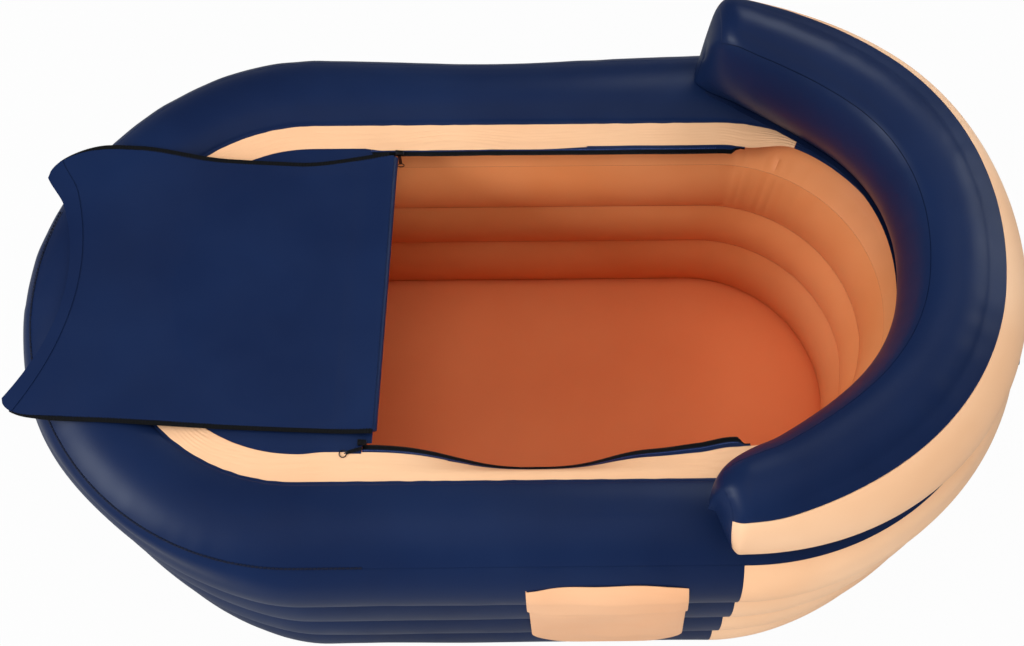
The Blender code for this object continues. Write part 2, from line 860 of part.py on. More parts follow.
def pocket_spot(share_x, share_z, front):
    top = pocket_high if front else pocket_back_high
    height = pocket_low + (top - pocket_low) * share_z
    up = (height - pocket_low) / (pocket_high - pocket_low)
    left = pocket_left_x + (pocket_mouth_left_x - pocket_left_x) * up
    right = pocket_right_x + (pocket_mouth_right_x - pocket_right_x) * up
    corner = pocket_corner * max(0.0, 1 - share_z / pocket_corner_share)
    x = (left + right) / 2 + share_x * ((right - left) / 2 - corner)
    back = -(seam_half_width + rim_swell(height)) - soft_gap
    deeper = min(1.0, share_z / pocket_foot_share)
    low_depth = pocket_foot_depth + (pocket_depth - pocket_foot_depth) * deeper
    mouth = smooth_step((share_z - 1 + pocket_mouth_share) / pocket_mouth_share)
    depth = low_depth + (pocket_mouth_depth - low_depth) * mouth
    depth *= 1 - (1 - pocket_side_share) * share_x**pocket_side_power
    return Vector((x, back - depth if front else back, height))


def make_pocket():
    bm = bmesh.new()
    bmesh.ops.create_grid(bm, x_segments=pocket_columns, y_segments=pocket_rows, size=1.0)
    back = list(bm.verts)
    made = bmesh.ops.duplicate(bm, geom=list(bm.verts) + list(bm.edges) + list(bm.faces))
    front = [item for item in made["geom"] if isinstance(item, bmesh.types.BMVert)]
    rims = [e for e in bm.edges if e.is_boundary and min(v.co.y for v in e.verts) < 1 - gap]
    sides = [e for e in rims if max(v.co.y for v in e.verts) <= 1]
    for verts, is_front in ((back, False), (front, True)):
        for vert in verts:
            row = 1 - (1 - (vert.co.y + 1) / 2) ** pocket_row_power
            vert.co = pocket_spot(vert.co.x, row, is_front)
    bmesh.ops.bridge_loops(bm, edges=sides)
    pocket = add_mesh("side_pocket", bm, "peach_vinyl")
    wall = pocket.modifiers.new("thickness", "SOLIDIFY")
    wall.thickness = sheet
    wall.offset = -1.0
    wall.use_even_offset = True


# Air valves, each a turned body with a plug cap


def turned(name, profile, material):
    bm = bmesh.new()
    verts = [bm.verts.new((radius, 0.0, height)) for radius, height in profile]
    for pair in zip(verts, verts[1:]):
        bm.edges.new(pair)
    mesh = bpy.data.meshes.new(name)
    bm.to_mesh(mesh)
    bm.free()
    part = add_part(name, mesh, material)
    spin = part.modifiers.new("turn", "SCREW")
    spin.steps = valve_steps
    spin.render_steps = valve_steps
    spin.use_merge_vertices = True
    spin.merge_threshold = gap / 10
    return part


def make_valve(number, spot, facing):
    neck_top = valve_disc_height + valve_neck_height
    stem = valve_bore_radius - gap
    seat = neck_top + gap
    body = [(0.0, valve_disc_height), (valve_bore_radius, valve_disc_height)]
    body += [(valve_bore_radius, neck_top), (valve_neck_radius, neck_top)]
    body += [(valve_neck_radius, valve_disc_height), (valve_disc_radius, valve_disc_height)]
    body += [(valve_disc_radius, 0.0), (0.0, 0.0)]
    top = seat + valve_cap_height
    cap = [(0.0, top), (valve_cap_radius, top), (valve_cap_radius, seat), (stem, seat)]
    stem_end = neck_top - valve_stem_length
    cap += [(stem, stem_end), (0.0, stem_end)]
    for name, profile in (("valve_body_", body), ("valve_cap_", cap)):
        part = turned(name + str(number), profile, "valve_plastic")
        part.location = spot
        part.rotation_euler = facing.to_track_quat("Z", "Y").to_euler()


def make_valves():
    low_out, seam = rim_side()
    side = arc(low_out, seam, rim_bulge, arc_steps, trim=seam_trim)
    facet = 180.0 / turn_steps
    for number, angle in enumerate(head_valve_angles, 1):
        edge = math.floor(angle / facet) * facet
        rows = []
        for inset, height in (side[head_valve_facet], side[head_valve_facet + 1]):
            row = []
            for place in (math.radians(edge), math.radians(edge + facet)):
                reach = seam_half_width - inset
                spot = (straight_half + reach * math.cos(place), reach * math.sin(place), height)
                row.append(draw_wall(Vector(spot)))
            rows.append(row)
        along = rows[0][1] + rows[1][1] - rows[0][0] - rows[1][0]
        up = rows[1][0] + rows[1][1] - rows[0][0] - rows[0][1]
        facing = along.cross(up).normalized()
        share = (angle - edge) / facet
        spot = (rows[0][0].lerp(rows[0][1], share) + rows[1][0].lerp(rows[1][1], share)) / 2
        make_valve(number, spot + facing * soft_gap, facing)


def build():
    make_base()
    for index, name in enumerate(("lower", "middle", "upper")):
        make_ring(index, name)
        make_web(index, name)
    make_rim()
    make_band()
    make_zip_side("near", -1)
    make_zip_side("far", 1)
    make_panel()
    make_flap()
    make_fold()
    make_zip_hardware("near")
    make_zip_hardware("far")
    make_backrest()
    make_pocket()
    make_valves()


clear_scene()
parts = bpy.data.collections.new("inflatable_bathtub")
tools = bpy.data.collections.new("cutters")
bpy.context.scene.collection.children.link(parts)
bpy.context.scene.collection.children.link(tools)
build()
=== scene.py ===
# Inflatable bathtub: the looks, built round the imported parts
import math

import bmesh
import bpy
import numpy as np
from mathutils import Matrix, Vector


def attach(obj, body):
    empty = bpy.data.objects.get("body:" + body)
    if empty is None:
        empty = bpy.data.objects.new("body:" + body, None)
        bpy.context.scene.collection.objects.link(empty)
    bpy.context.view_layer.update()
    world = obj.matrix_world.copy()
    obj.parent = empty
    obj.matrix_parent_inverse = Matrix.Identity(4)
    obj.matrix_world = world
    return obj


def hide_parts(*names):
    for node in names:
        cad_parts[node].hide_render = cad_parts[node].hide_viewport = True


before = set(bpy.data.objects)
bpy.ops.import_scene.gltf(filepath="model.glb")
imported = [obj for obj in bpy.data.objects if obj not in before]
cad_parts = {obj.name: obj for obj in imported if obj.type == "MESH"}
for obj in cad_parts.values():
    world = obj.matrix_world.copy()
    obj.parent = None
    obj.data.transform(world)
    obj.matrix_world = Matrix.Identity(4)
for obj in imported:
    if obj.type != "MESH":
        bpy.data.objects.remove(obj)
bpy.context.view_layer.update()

# The plan of the tub and the heights of its seams, in metres
plan = {
    "halfLength": 0.785, "halfWidth": 0.444, "seamHeight": 0.550,
    "creaseOut": -0.020, "creaseIn": 0.186, "topCreaseIn": 0.180,
    "outerCreases": (0.150, 0.280, 0.415), "innerCreases": (0.207, 0.353, 0.497),
    "floorHeight": 0.030, "baseLip": (-0.012, 0.020), "baseRoll": 0.030,
    "flangeIn": 0.136, "flangeRise": 0.006, "crown": 0.021,
    "rimBulge": 0.030, "ringBulge": 0.020, "innerBulge": 0.014,
    "sheet": 0.001, "gap": 0.0003, "softGap": 0.0008,
    "turnSteps": 150, "runSteps": 66,
}
straightHalf = plan["halfLength"] - plan["halfWidth"]
perimeter = 4 * straightHalf + 2 * math.pi * plan["halfWidth"]
webSpace = plan["sheet"] / 2 + plan["gap"]
bandBottom = plan["seamHeight"] + plan["flangeRise"] + plan["softGap"]
bandTop = bandBottom + plan["sheet"]
facings = {"near": -1, "far": 1}


# Working helpers

def deselectAll():
    for thing in bpy.context.selected_objects:
        thing.select_set(False)


def startPiece(name):
    piece = bpy.context.object
    piece.name = name
    piece.data.name = name
    return piece


def startGrid(name, columns, rows):
    deselectAll()
    bpy.ops.mesh.primitive_grid_add(x_subdivisions=columns, y_subdivisions=rows, size=2)
    return startPiece(name)


def editAll():
    bpy.ops.object.mode_set(mode="EDIT")
    bpy.ops.mesh.select_all(action="SELECT")


def pickFaces(piece, test):
    bpy.ops.mesh.select_all(action="DESELECT")
    work = bmesh.from_edit_mesh(piece.data)
    work.select_mode = {"FACE"}
    for face in work.faces:
        face.select_set(test(face.normal) > 0.9)
    bmesh.update_edit_mesh(piece.data)


def only(piece):
    deselectAll()
    piece.select_set(True)
    bpy.context.view_layer.objects.active = piece


def smoothStep(value):
    value = np.clip(value, 0.0, 1.0)
    return value * value * (3 - 2 * value)


def bell(value, place, spread, power=2):
    return np.exp(-np.abs((value - place) / spread) ** power)


def bulgeRadius(chord, bulge):
    return (chord * chord / 4 + bulge * bulge) / (2 * bulge)


def readPoints(piece):
    points = np.empty(len(piece.data.vertices) * 3)
    piece.data.vertices.foreach_get("co", points)
    return points.reshape(-1, 3)


def reshape(piece, move):
    moved = move(readPoints(piece))
    piece.data.vertices.foreach_set("co", moved.ravel())
    piece.data.update()


def finishPiece(piece, body, finish, nodes=(), angle=38):
    only(piece)
    editAll()
    bpy.ops.mesh.normals_make_consistent(inside=False)
    bpy.ops.object.mode_set(mode="OBJECT")
    bpy.ops.object.transform_apply(location=True, rotation=True, scale=True)
    bpy.ops.object.shade_smooth_by_angle(angle=math.radians(angle))
    piece.data.materials.clear()
    piece.data.materials.append(materials[finish])
    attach(piece, body)
    if nodes:
        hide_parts(*nodes)
    return piece


def applyModifier(piece, kind, **settings):
    modifier = piece.modifiers.new(kind.lower(), kind)
    for key, value in settings.items():
        setattr(modifier, key, value)
    only(piece)
    bpy.ops.object.modifier_apply(modifier=modifier.name)


# Sections are (inset, height) points: up the outside, over the top, down the inside

def arcPoints(start, end, bulge, steps, offset=0.0, trim=0.0):
    start, end = Vector(start), Vector(end)
    chord = (end - start).length
    along = (end - start) / chord
    outwards = Vector((-along.y, along.x))
    radius = bulgeRadius(chord, bulge)
    centre = (start + end) / 2 + outwards * (bulge - radius)
    half = math.asin(chord / (2 * radius))
    limit = half - trim / radius
    points = []
    for step in range(steps + 1):
        angle = min(max(-half + 2 * half * step / steps, -limit), limit)
        ray = outwards * math.cos(angle) + along * math.sin(angle)
        points.append(tuple(centre + ray * (radius - offset)))
    return points


def roundSeams(points, spread):
    # evens the outline out along its length, so that pressure rounds the seams
    points = np.array(points, dtype=float)
    lengths = np.concatenate([[0], np.cumsum(np.hypot(*np.diff(points, axis=0).T))])
    even = np.linspace(0, lengths[-1], 600)
    dense = np.stack([np.interp(even, lengths, points[:, axis]) for axis in (0, 1)], 1)
    width = spread / (even[1] - even[0])
    reach = int(width * 3) + 1
    weights = np.exp(-((np.arange(-reach, reach + 1) / width) ** 2) / 2)
    weights /= weights.sum()
    before, after = 2 * dense[0] - dense[reach:0:-1], 2 * dense[-1] - dense[-2:-reach - 2:-1]
    padded = np.concatenate([before, dense, after])
    return np.stack([np.convolve(padded[:, axis], weights, "valid") for axis in (0, 1)], 1)


def partSection(outline, start, end, steps, trim, thickness):
    # the stretch of an outline between two of its shares, as a closed sheet section
    lengths = np.concatenate([[0], np.cumsum(np.hypot(*np.diff(outline, axis=0).T))])
    spots = np.linspace(start * lengths[-1] + trim, end * lengths[-1] - trim, steps + 1)
    outer = np.stack([np.interp(spots, lengths, outline[:, axis]) for axis in (0, 1)], 1)
    along = np.gradient(outer, axis=0)
    along /= np.hypot(*along.T)[:, None]
    inner = outer - np.stack([-along[:, 1], along[:, 0]], 1) * thickness
    return [tuple(point) for point in outer] + [tuple(point) for point in inner[::-2]]


def sheetSection(start, end, bulge, steps, trim=0.0):
    inside = arcPoints(start, end, bulge, max(4, steps // 3), plan["sheet"], trim)[::-1]
    return arcPoints(start, end, bulge, steps, 0.0, trim) + inside


def sweepPiece(name, profile, start, legs, closed=False):
    deselectAll()
    bpy.ops.mesh.primitive_circle_add(vertices=len(profile), radius=plan["crown"])
    piece = startPiece(name)
    startX, startAngle = start[0], math.radians(start[1])
    for point, (inset, height) in zip(piece.data.vertices, profile):
        reach = plan["halfWidth"] - inset
        point.co = (startX + reach * math.cos(startAngle), reach * math.sin(startAngle), height)
    editAll()
    for kind, amount, steps, centreX in legs:
        if kind == "turn":  # the operator turns clockwise
            bpy.ops.mesh.spin(steps=steps, angle=-math.radians(amount), center=(centreX, 0, 0),
                axis=(0, 0, 1))
            continue
        move = {"value": (amount / steps, 0, 0)}
        for _ in range(steps):
            bpy.ops.mesh.extrude_region_move(TRANSFORM_OT_translate=move)
    bpy.ops.mesh.select_all(action="SELECT")
    if closed:
        bpy.ops.mesh.remove_doubles(threshold=plan["gap"] / 10)
    else:
        bpy.ops.mesh.fill_holes(sides=0)
    bpy.ops.object.mode_set(mode="OBJECT")
    return piece


def allRound(name, profile):
    turns, runs = plan["turnSteps"], plan["runSteps"]
    legs = (("run", -2 * straightHalf, runs, 0), ("turn", -180, turns, -straightHalf),
            ("run", 2 * straightHalf, runs, 0), ("turn", -180, turns, straightHalf))
    return sweepPiece(name, profile, (straightHalf, -90), legs, closed=True)


def footHalf(name, profile, setback):
    reach = 2 * straightHalf - setback - plan["gap"]
    turns, runs = plan["turnSteps"], plan["runSteps"]
    legs = (("run", -reach, runs, 0), ("turn", -180, turns, -straightHalf), ("run", reach, runs, 0))
    return sweepPiece(name, profile, (straightHalf - setback - plan["gap"], -90), legs)


def headHalf(name, profile, setback):
    legs = [("turn", 180, plan["turnSteps"], straightHalf)]
    if setback:
        legs = [("run", setback, 1, 0)] + legs + [("run", -setback, 1, 0)]
    return sweepPiece(name, profile, (straightHalf - setback, -90), legs)


# Where a point lies on the plan: how far in from the outer seam, and how far along it

def planPlace(points):
    x, y = points[:, 0], points[:, 1]
    beyond = np.maximum(np.abs(x) - straightHalf, 0.0)
    reach = np.hypot(beyond, y)
    angle = np.degrees(np.arctan2(y, np.copysign(beyond, x)))
    angle = np.where(beyond > 0, angle, np.where(y < 0, -90.0, 90.0))
    width = plan["halfWidth"]
    straight = np.where(y < 0, straightHalf - x, 3 * straightHalf + math.pi * width + x)
    footTurn = 2 * straightHalf + np.radians((-90 - angle) % 360) * width
    headTurn = 4 * straightHalf + math.pi * width + np.radians(90 - angle) * width
    along = np.where(beyond > 0, np.where(x < 0, footTurn, headTurn), straight)
    return width - reach, angle, along


def planPoint(inset, along):
    # the plan position at a distance along the outer seam, clockwise from the near head corner
    width, half = plan["halfWidth"], straightHalf
    along = np.mod(along, perimeter)
    reach = width - inset
    turnLength = math.pi * width
    footAngle = math.radians(-90) - (along - 2 * half) / width
    headAngle = math.radians(90) - (along - 4 * half - turnLength) / width
    onNear, onFoot = along < 2 * half, along < 2 * half + turnLength
    onFar = along < 4 * half + turnLength
    x = np.where(onNear, half - along, np.where(onFoot, -half + reach * np.cos(footAngle),
                 np.where(onFar, along - 3 * half - turnLength, half + reach * np.cos(headAngle))))
    y = np.where(onNear, -reach, np.where(onFoot, reach * np.sin(footAngle),
                 np.where(onFar, reach, reach * np.sin(headAngle))))
    return x, y


def stitchRow(name, count, pitch, size, slant, place):
    # one stitch, repeated in a row and then laid along its seam by place(along, across, up)
    deselectAll()
    bpy.ops.mesh.primitive_cube_add(size=1)
    row = startPiece(name)
    editAll()
    bpy.ops.transform.resize(value=size, center_override=(0, 0, 0))
    bpy.ops.transform.rotate(value=math.radians(slant), orient_axis="Z", center_override=(0, 0, 0))
    bpy.ops.object.mode_set(mode="OBJECT")
    applyModifier(row, "BEVEL", width=min(size) * 0.3, segments=1)
    applyModifier(row, "ARRAY", count=count, use_relative_offset=False, use_constant_offset=True,
        constant_offset_displace=(pitch, 0, 0))
    reshape(row, lambda points: place(points[:, 0], points[:, 1], points[:, 2]))
    return row


def moveOutline(points, shift):
    x, y = points[:, 0], points[:, 1]
    beyond = np.maximum(np.abs(x) - straightHalf, 0.0)
    reach = np.hypot(beyond, y)
    scale = (reach - shift) / reach
    moved = points.copy()
    moved[:, 0] = np.where(beyond > 0, np.copysign(straightHalf + beyond * scale, x), x)
    moved[:, 1] = y * scale
    return moved


def ripple(along, lengths, seed):
    phases = np.random.default_rng(seed).uniform(0, 2 * math.pi, len(lengths))
    total = np.zeros_like(along)
    for length, phase in zip(lengths, phases):
        total += np.sin(2 * math.pi * round(perimeter / length) * along / perimeter + phase)
    return total / len(lengths)


# How the air pressure draws the walls in from the even plan
drawnIn = {
    "foot": 0.009, "head": 0.004, "far": 0.008, "farPlace": -0.1, "farSpread": 0.55, "run": 0.045,
    "nearFade": 12.0,
    "corners": ((0.014, -129.0, 19.0), (0.006, -50.0, 20.0)),
    "dip": 0.0110, "dipX": -0.05, "dipSpread": 0.22, "footDip": 0.006, "footAngle": 135.0,
    "footSpread": 32.0,
    "dipIn": 0.02, "dipLow": 0.004, "dipRise": 0.065,
    "lean": 0.018, "leanX": 0.03, "leanSpread": 0.24, "leanLow": 0.26,
    "leanRise": 0.12, "leanIn": 0.10, "leanRun": 0.05,
}


def wallDraw(points):
    x = points[:, 0]
    inset, angle = planPlace(points)[:2]
    share = np.clip(x / straightHalf, -1, 1)
    ends = (drawnIn["foot"] + drawnIn["head"] + (drawnIn["head"] - drawnIn["foot"]) * share) / 2
    straight = np.where(points[:, 1] > 0,
        ends + drawnIn["far"] * bell(share, drawnIn["farPlace"], drawnIn["farSpread"]), 0.0)
    turned = np.where(x < 0, drawnIn["foot"], drawnIn["head"])
    for corner, place, spread in drawnIn["corners"]:
        turned = turned + corner * bell(angle, place, spread)
    turned = turned * (1 - bell(angle, -90, drawnIn["nearFade"]))
    amount = np.where(np.abs(x) > straightHalf, turned, straight)
    across = np.clip((plan["creaseIn"] - inset) / (plan["creaseIn"] - plan["creaseOut"]), 0, 1)
    return amount * across * smoothStep((plan["seamHeight"] - points[:, 2]) / drawnIn["run"])


def drawWall(points):
    return moveOutline(points, wallDraw(points))


def dipFar(points):
    # the middle of the far rim is drawn in, seam and all
    inset, angle = planPlace(points)[:2]
    amount = drawnIn["dip"] * bell(points[:, 0], drawnIn["dipX"], drawnIn["dipSpread"])
    amount = amount + drawnIn["footDip"] * bell(angle, drawnIn["footAngle"], drawnIn["footSpread"])
    across = (plan["flangeIn"] - inset) / (plan["flangeIn"] - drawnIn["dipIn"])
    amount = amount * np.clip(across, 0, 1)
    height = points[:, 2] - plan["outerCreases"][2] - drawnIn["dipLow"]
    amount = amount * smoothStep(height / drawnIn["dipRise"])
    return moveOutline(points, np.where(points[:, 1] > 0, amount, 0.0))


def leanNear(points):
    # behind the edge that hangs down, the near wall gives way to it
    inset = planPlace(points)[0]
    share = bell(points[:, 0], drawnIn["leanX"], drawnIn["leanSpread"], 4)
    share = share * smoothStep((points[:, 2] - drawnIn["leanLow"]) / drawnIn["leanRise"])
    share = share * smoothStep((inset - drawnIn["leanIn"]) / drawnIn["leanRun"])
    return moveOutline(points, np.where(points[:, 1] < 0, -drawnIn["lean"] * share, 0.0))


# Materials. Every colour is what the eye reads, turned to linear by one function

def hexColour(code):
    parts = [int(code[place:place + 2], 16) / 255 for place in (1, 3, 5)]
    linear = [c / 12.92 if c <= 0.04045 else ((c + 0.055) / 1.055) ** 2.4 for c in parts]
    return tuple(linear) + (1.0,)


def addNode(tree, kind, sockets=None, **settings):
    node = tree.nodes.new(kind)
    for key, value in settings.items():
        setattr(node, key, value)
    for key, value in (sockets or {}).items():
        if isinstance(value, tuple) and isinstance(value[0], bpy.types.Node):
            tree.links.new(value[0].outputs[value[1]], node.inputs[key])
        else:
            node.inputs[key].default_value = value
    return node


def setRamp(node, look, spots):
    for element, spot, end in zip(node.color_ramp.elements, spots, ("low", "high")):
        element.position, element.color = spot, hexColour(look[end])


materials = {}


def newMaterial(name):
    material = bpy.data.materials.new(name)
    material.use_nodes = True
    material.node_tree.nodes.clear()
    materials[name] = material
    return material.node_tree


# Calendered PVC sheet: rolled smooth, so the gloss is satin and wanders a little,
# with broad soft dents from being folded and a fine grain that only shows close by
vinylLooks = {
    "navyVinyl": {"slot": "navy_vinyl", "low": "#0F1E3F", "high": "#132447", "rough": (0.36, 0.42),
        "grain": 0.0004},
    "peachVinyl": {"slot": "peach_vinyl", "low": "#EFBC91", "high": "#F8CBA3",
        "rough": (0.42, 0.52), "grain": 0.0003},
    "pocketVinyl": {"slot": "peach_vinyl", "low": "#EDB184", "high": "#F2BB90",
        "rough": (0.42, 0.52), "grain": 0.0003},
    # the flange band uses the peach vinyl painted a little darker and deeper: painted shade, so the
    # band, which faces up into the lights, renders no brighter than the peach walls
    "flangeVinylPaintedShade": {"slot": "peach_vinyl", "low": "#ECB68A", "high": "#F0BF94",
        "rough": (0.42, 0.52), "grain": 0.0003},
    "orangeVinyl": {"slot": "orange_vinyl", "low": "#E08A52", "high": "#EA9861",
        "rough": (0.44, 0.54), "grain": 0.0003},
    "floorVinyl": {"slot": "orange_vinyl", "low": "#E8804D", "high": "#ED8854",
        "rough": (0.46, 0.58), "grain": 0.0004},
    "webVinyl": {"slot": "clear_vinyl", "low": "#B8602F", "high": "#C66C3A", "rough": (0.4, 0.5),
        "grain": 0.0002},
    "clearVinyl": {"slot": "clear_vinyl", "low": "#0C1630", "high": "#162240",
        "rough": (0.14, 0.22), "grain": 0.0002},
}
# Sizes of the pattern in metres
vinylScale = {
    "cloudSize": 0.30, "dentSize": 0.070, "grainSize": 0.0016, "ior": 1.45, "specular": 0.24,
    "cloudRange": (0.35, 0.68), "dentRange": (0.3, 0.7),
    "dentShare": 0.15, "dentDepth": 0.0012, "grainShare": 0.25,
}


def makeVinyl(name, look):
    tree = newMaterial(name)
    place = addNode(tree, "ShaderNodeTexCoord")
    cloud = addNode(tree, "ShaderNodeTexNoise",
        {"Vector": (place, "Object"), "Scale": 1 / vinylScale["cloudSize"], "Detail": 3.0,
            "Roughness": 0.55})
    dent = addNode(tree, "ShaderNodeTexNoise",
        {"Vector": (place, "Object"), "Scale": 1 / vinylScale["dentSize"], "Detail": 2.0})
    grain = addNode(tree, "ShaderNodeTexNoise",
        {"Vector": (place, "Object"), "Scale": 1 / vinylScale["grainSize"], "Detail": 2.0,
            "Roughness": 0.6})
    colour = addNode(tree, "ShaderNodeValToRGB", {"Fac": (cloud, "Fac")})
    setRamp(colour, look, vinylScale["cloudRange"])
    gloss = addNode(tree, "ShaderNodeMapRange",
        {"Value": (dent, "Fac"), "From Min": vinylScale["dentRange"][0],
            "From Max": vinylScale["dentRange"][1], "To Min": look["rough"][0],
            "To Max": look["rough"][1]})
    dents = addNode(tree, "ShaderNodeBump",
        {"Height": (dent, "Fac"), "Strength": vinylScale["dentShare"],
            "Distance": vinylScale["dentDepth"]})
    bump = addNode(tree, "ShaderNodeBump",
        {"Height": (grain, "Fac"), "Normal": (dents, "Normal"),
            "Strength": vinylScale["grainShare"], "Distance": look["grain"]})
    shader = addNode(tree, "ShaderNodeBsdfPrincipled",
        {"Base Color": (colour, "Color"), "Roughness": (gloss, "Result"),
            "Normal": (bump, "Normal"), "IOR": vinylScale["ior"],
            "Specular IOR Level": vinylScale["specular"], "Metallic": 0.0})
    addNode(tree, "ShaderNodeOutputMaterial", {"Surface": (shader, "BSDF")})


for vinylName, vinylLook in vinylLooks.items():
    makeVinyl(vinylName, vinylLook)


# Woven polyester tape: matt, with a rib across it every 0.8 mm and a fine fuzz
tapeLook = {
    "low": "#020203", "high": "#0A0A0D", "rib": 0.0008, "ribShare": 0.5, "ribDepth": 0.0003,
    "fuzz": 900.0,
    "rough": 0.85, "ior": 1.4,
}


def makeTape():
    tree = newMaterial("wovenTape")
    place = addNode(tree, "ShaderNodeTexCoord")
    rib = addNode(tree, "ShaderNodeTexWave",
        {"Vector": (place, "Object"), "Scale": 1 / tapeLook["rib"] / 20, "Distortion": 0.6,
            "Detail": 1.0}, wave_type="BANDS", bands_direction="X")
    fuzz = addNode(tree, "ShaderNodeTexNoise",
        {"Vector": (place, "Object"), "Scale": tapeLook["fuzz"], "Detail": 2.0})
    mixed = addNode(tree, "ShaderNodeMath", {0: (rib, "Fac"), 1: (fuzz, "Fac")},
        operation="MULTIPLY")
    colour = addNode(tree, "ShaderNodeValToRGB", {"Fac": (mixed, "Value")})
    setRamp(colour, tapeLook, (0.0, 1.0))
    bump = addNode(tree, "ShaderNodeBump",
        {"Height": (rib, "Fac"), "Strength": tapeLook["ribShare"],
            "Distance": tapeLook["ribDepth"]})
    shader = addNode(tree, "ShaderNodeBsdfPrincipled",
        {"Base Color": (colour, "Color"), "Normal": (bump, "Normal"),
            "Roughness": tapeLook["rough"], "IOR": tapeLook["ior"], "Metallic": 0.0})
    addNode(tree, "ShaderNodeOutputMaterial", {"Surface": (shader, "BSDF")})


makeTape()


# Small hard parts and threads: each with a small uneven wear that breaks up its gloss
hardLooks = {
    "nylonCoil": {"slot": "zip_tape", "low": "#0A0A0C", "high": "#15151A", "rough": (0.35, 0.5),
        "size": 0.004, "ior": 1.53},
    "lacqueredZinc": {"slot": "zip_metal", "low": "#0B0B0D", "high": "#19191D",
        "rough": (0.22, 0.4), "size": 0.006, "ior": 1.5},
    "mouldedValve": {"slot": "valve_plastic", "low": "#22263A", "high": "#2C3148",
        "rough": (0.4, 0.52), "size": 0.01, "ior": 1.53},
    "bondedThread": {"slot": "navy_vinyl", "low": "#050B1E", "high": "#0C1636",
        "rough": (0.55, 0.7), "size": 0.002, "ior": 1.5},
    "paleThread": {"slot": "navy_vinyl", "low": "#33427A", "high": "#6A7DB8", "rough": (0.5, 0.65),
        "size": 0.002, "ior": 1.5},
}

hardWear = {"range": (0.4, 0.75), "share": 0.2, "depth": 0.0002}


def makeHard(name, look):
    tree = newMaterial(name)
    place = addNode(tree, "ShaderNodeTexCoord")
    wear = addNode(tree, "ShaderNodeTexNoise",
        {"Vector": (place, "Object"), "Scale": 1 / look["size"], "Detail": 4.0})
    colour = addNode(tree, "ShaderNodeValToRGB", {"Fac": (wear, "Fac")})
    setRamp(colour, look, hardWear["range"])
    gloss = addNode(tree, "ShaderNodeMapRange",
        {"Value": (wear, "Fac"), "To Min": look["rough"][0], "To Max": look["rough"][1]})
    bump = addNode(tree, "ShaderNodeBump",
        {"Height": (wear, "Fac"), "Strength": hardWear["share"], "Distance": hardWear["depth"]})
    shader = addNode(tree, "ShaderNodeBsdfPrincipled",
        {"Base Color": (colour, "Color"), "Roughness": (gloss, "Result"),
            "Normal": (bump, "Normal"), "IOR": look["ior"], "Metallic": 0.0})
    addNode(tree, "ShaderNodeOutputMaterial", {"Surface": (shader, "BSDF")})


for hardName, hardLook in hardLooks.items():
    makeHard(hardName, hardLook)
print("materials ready:", len(materials))


# Floor of the bath and the sheet under it
bathFloor = {
    "low": 0.0023, "crown": 0.004, "steps": (150, 60), "edgeFade": 0.012,
    "waveDepth": 0.0006, "waves": (21, 17), "waveRun": 0.05, "ground": 0.002,
    "groundSteps": (60, 24),
}


def stadiumGrid(name, inset, low, steps, thickness):
    piece = startGrid(name, *steps)
    reach = plan["halfWidth"] - inset

    def place(points):
        y = np.sin(points[:, 1] * math.pi / 2) * reach
        half = straightHalf + np.sqrt(np.maximum(reach ** 2 - y ** 2, 0.0))
        return np.stack([points[:, 0] * half, y, np.full(len(y), low + thickness)], 1)

    reshape(piece, place)
    applyModifier(piece, "SOLIDIFY", thickness=thickness, offset=-1.0)
    return piece


def makeFloor():
    inset = plan["creaseIn"] + plan["gap"]
    thick = plan["floorHeight"] - bathFloor["low"]
    floor = stadiumGrid("bathFloor", inset, bathFloor["low"], bathFloor["steps"], thick)

    def puff(points):
        edge = np.maximum(planPlace(points)[0] - inset, 0.0)
        top = points[:, 2] > plan["floorHeight"] / 2
        dip = -bathFloor["crown"] * np.exp(-edge / bathFloor["edgeFade"])
        over, across = bathFloor["waves"]
        wave = bathFloor["waveDepth"] * np.sin(points[:, 0] * over + 1)
        wave = wave * np.sin(points[:, 1] * across + 2)
        points[:, 2] += np.where(top, dip + wave * smoothStep(edge / bathFloor["waveRun"]), 0)
        return points

    reshape(floor, puff)
    finishPiece(floor, "tub", "floorVinyl", ["floor_pad"])
    ground = stadiumGrid("groundSheet", plan["baseRoll"], 0.0, bathFloor["groundSteps"],
        bathFloor["ground"])
    finishPiece(ground, "tub", "navyVinyl", ["ground_sheet"])


makeFloor()
print("floor done")


# Wall rings: air chambers whose inner faces line the bath, with their outer sheets
wallRings = {
    "names": ("Lower", "Middle", "Upper"), "underSkin": 0.0055,
    "puckerDepth": 0.0016, "puckerReach": 0.030, "puckerLengths": (0.062, 0.081, 0.117, 0.149),
    "sagDepth": 0.0022, "sagLengths": (0.26, 0.41, 0.66),
    "shortDepth": 0.0030, "shortLengths": (0.019, 0.026, 0.034), "shortAngle": 72.0,
    "shortSpread": 13.0,
    "shortRun": 0.05, "space": 0.0002, "fadeIn": 0.006, "slowIn": 0.03,
    "crossLengths": (0.37, 0.53), "insideFrom": 0.12, "outsideTo": 0.02,
    "webOut": 0.004, "webIn": 0.012, "lip": (0.33, 0.005),
}


def ringCorners(index):
    lowOut = (plan["creaseOut"], plan["outerCreases"][index - 1] + webSpace)
    lowIn = (plan["creaseIn"], plan["innerCreases"][index - 1] + wallRings["space"])
    if index == 0:
        lowOut, lowIn = plan["baseLip"], (plan["creaseIn"], plan["floorHeight"] + plan["gap"])
    topOut = (plan["creaseOut"], plan["outerCreases"][index] - webSpace)
    topIn = (plan["topCreaseIn"] if index == 2 else plan["creaseIn"],
        plan["innerCreases"][index] - wallRings["space"])
    return lowOut, topOut, topIn, lowIn


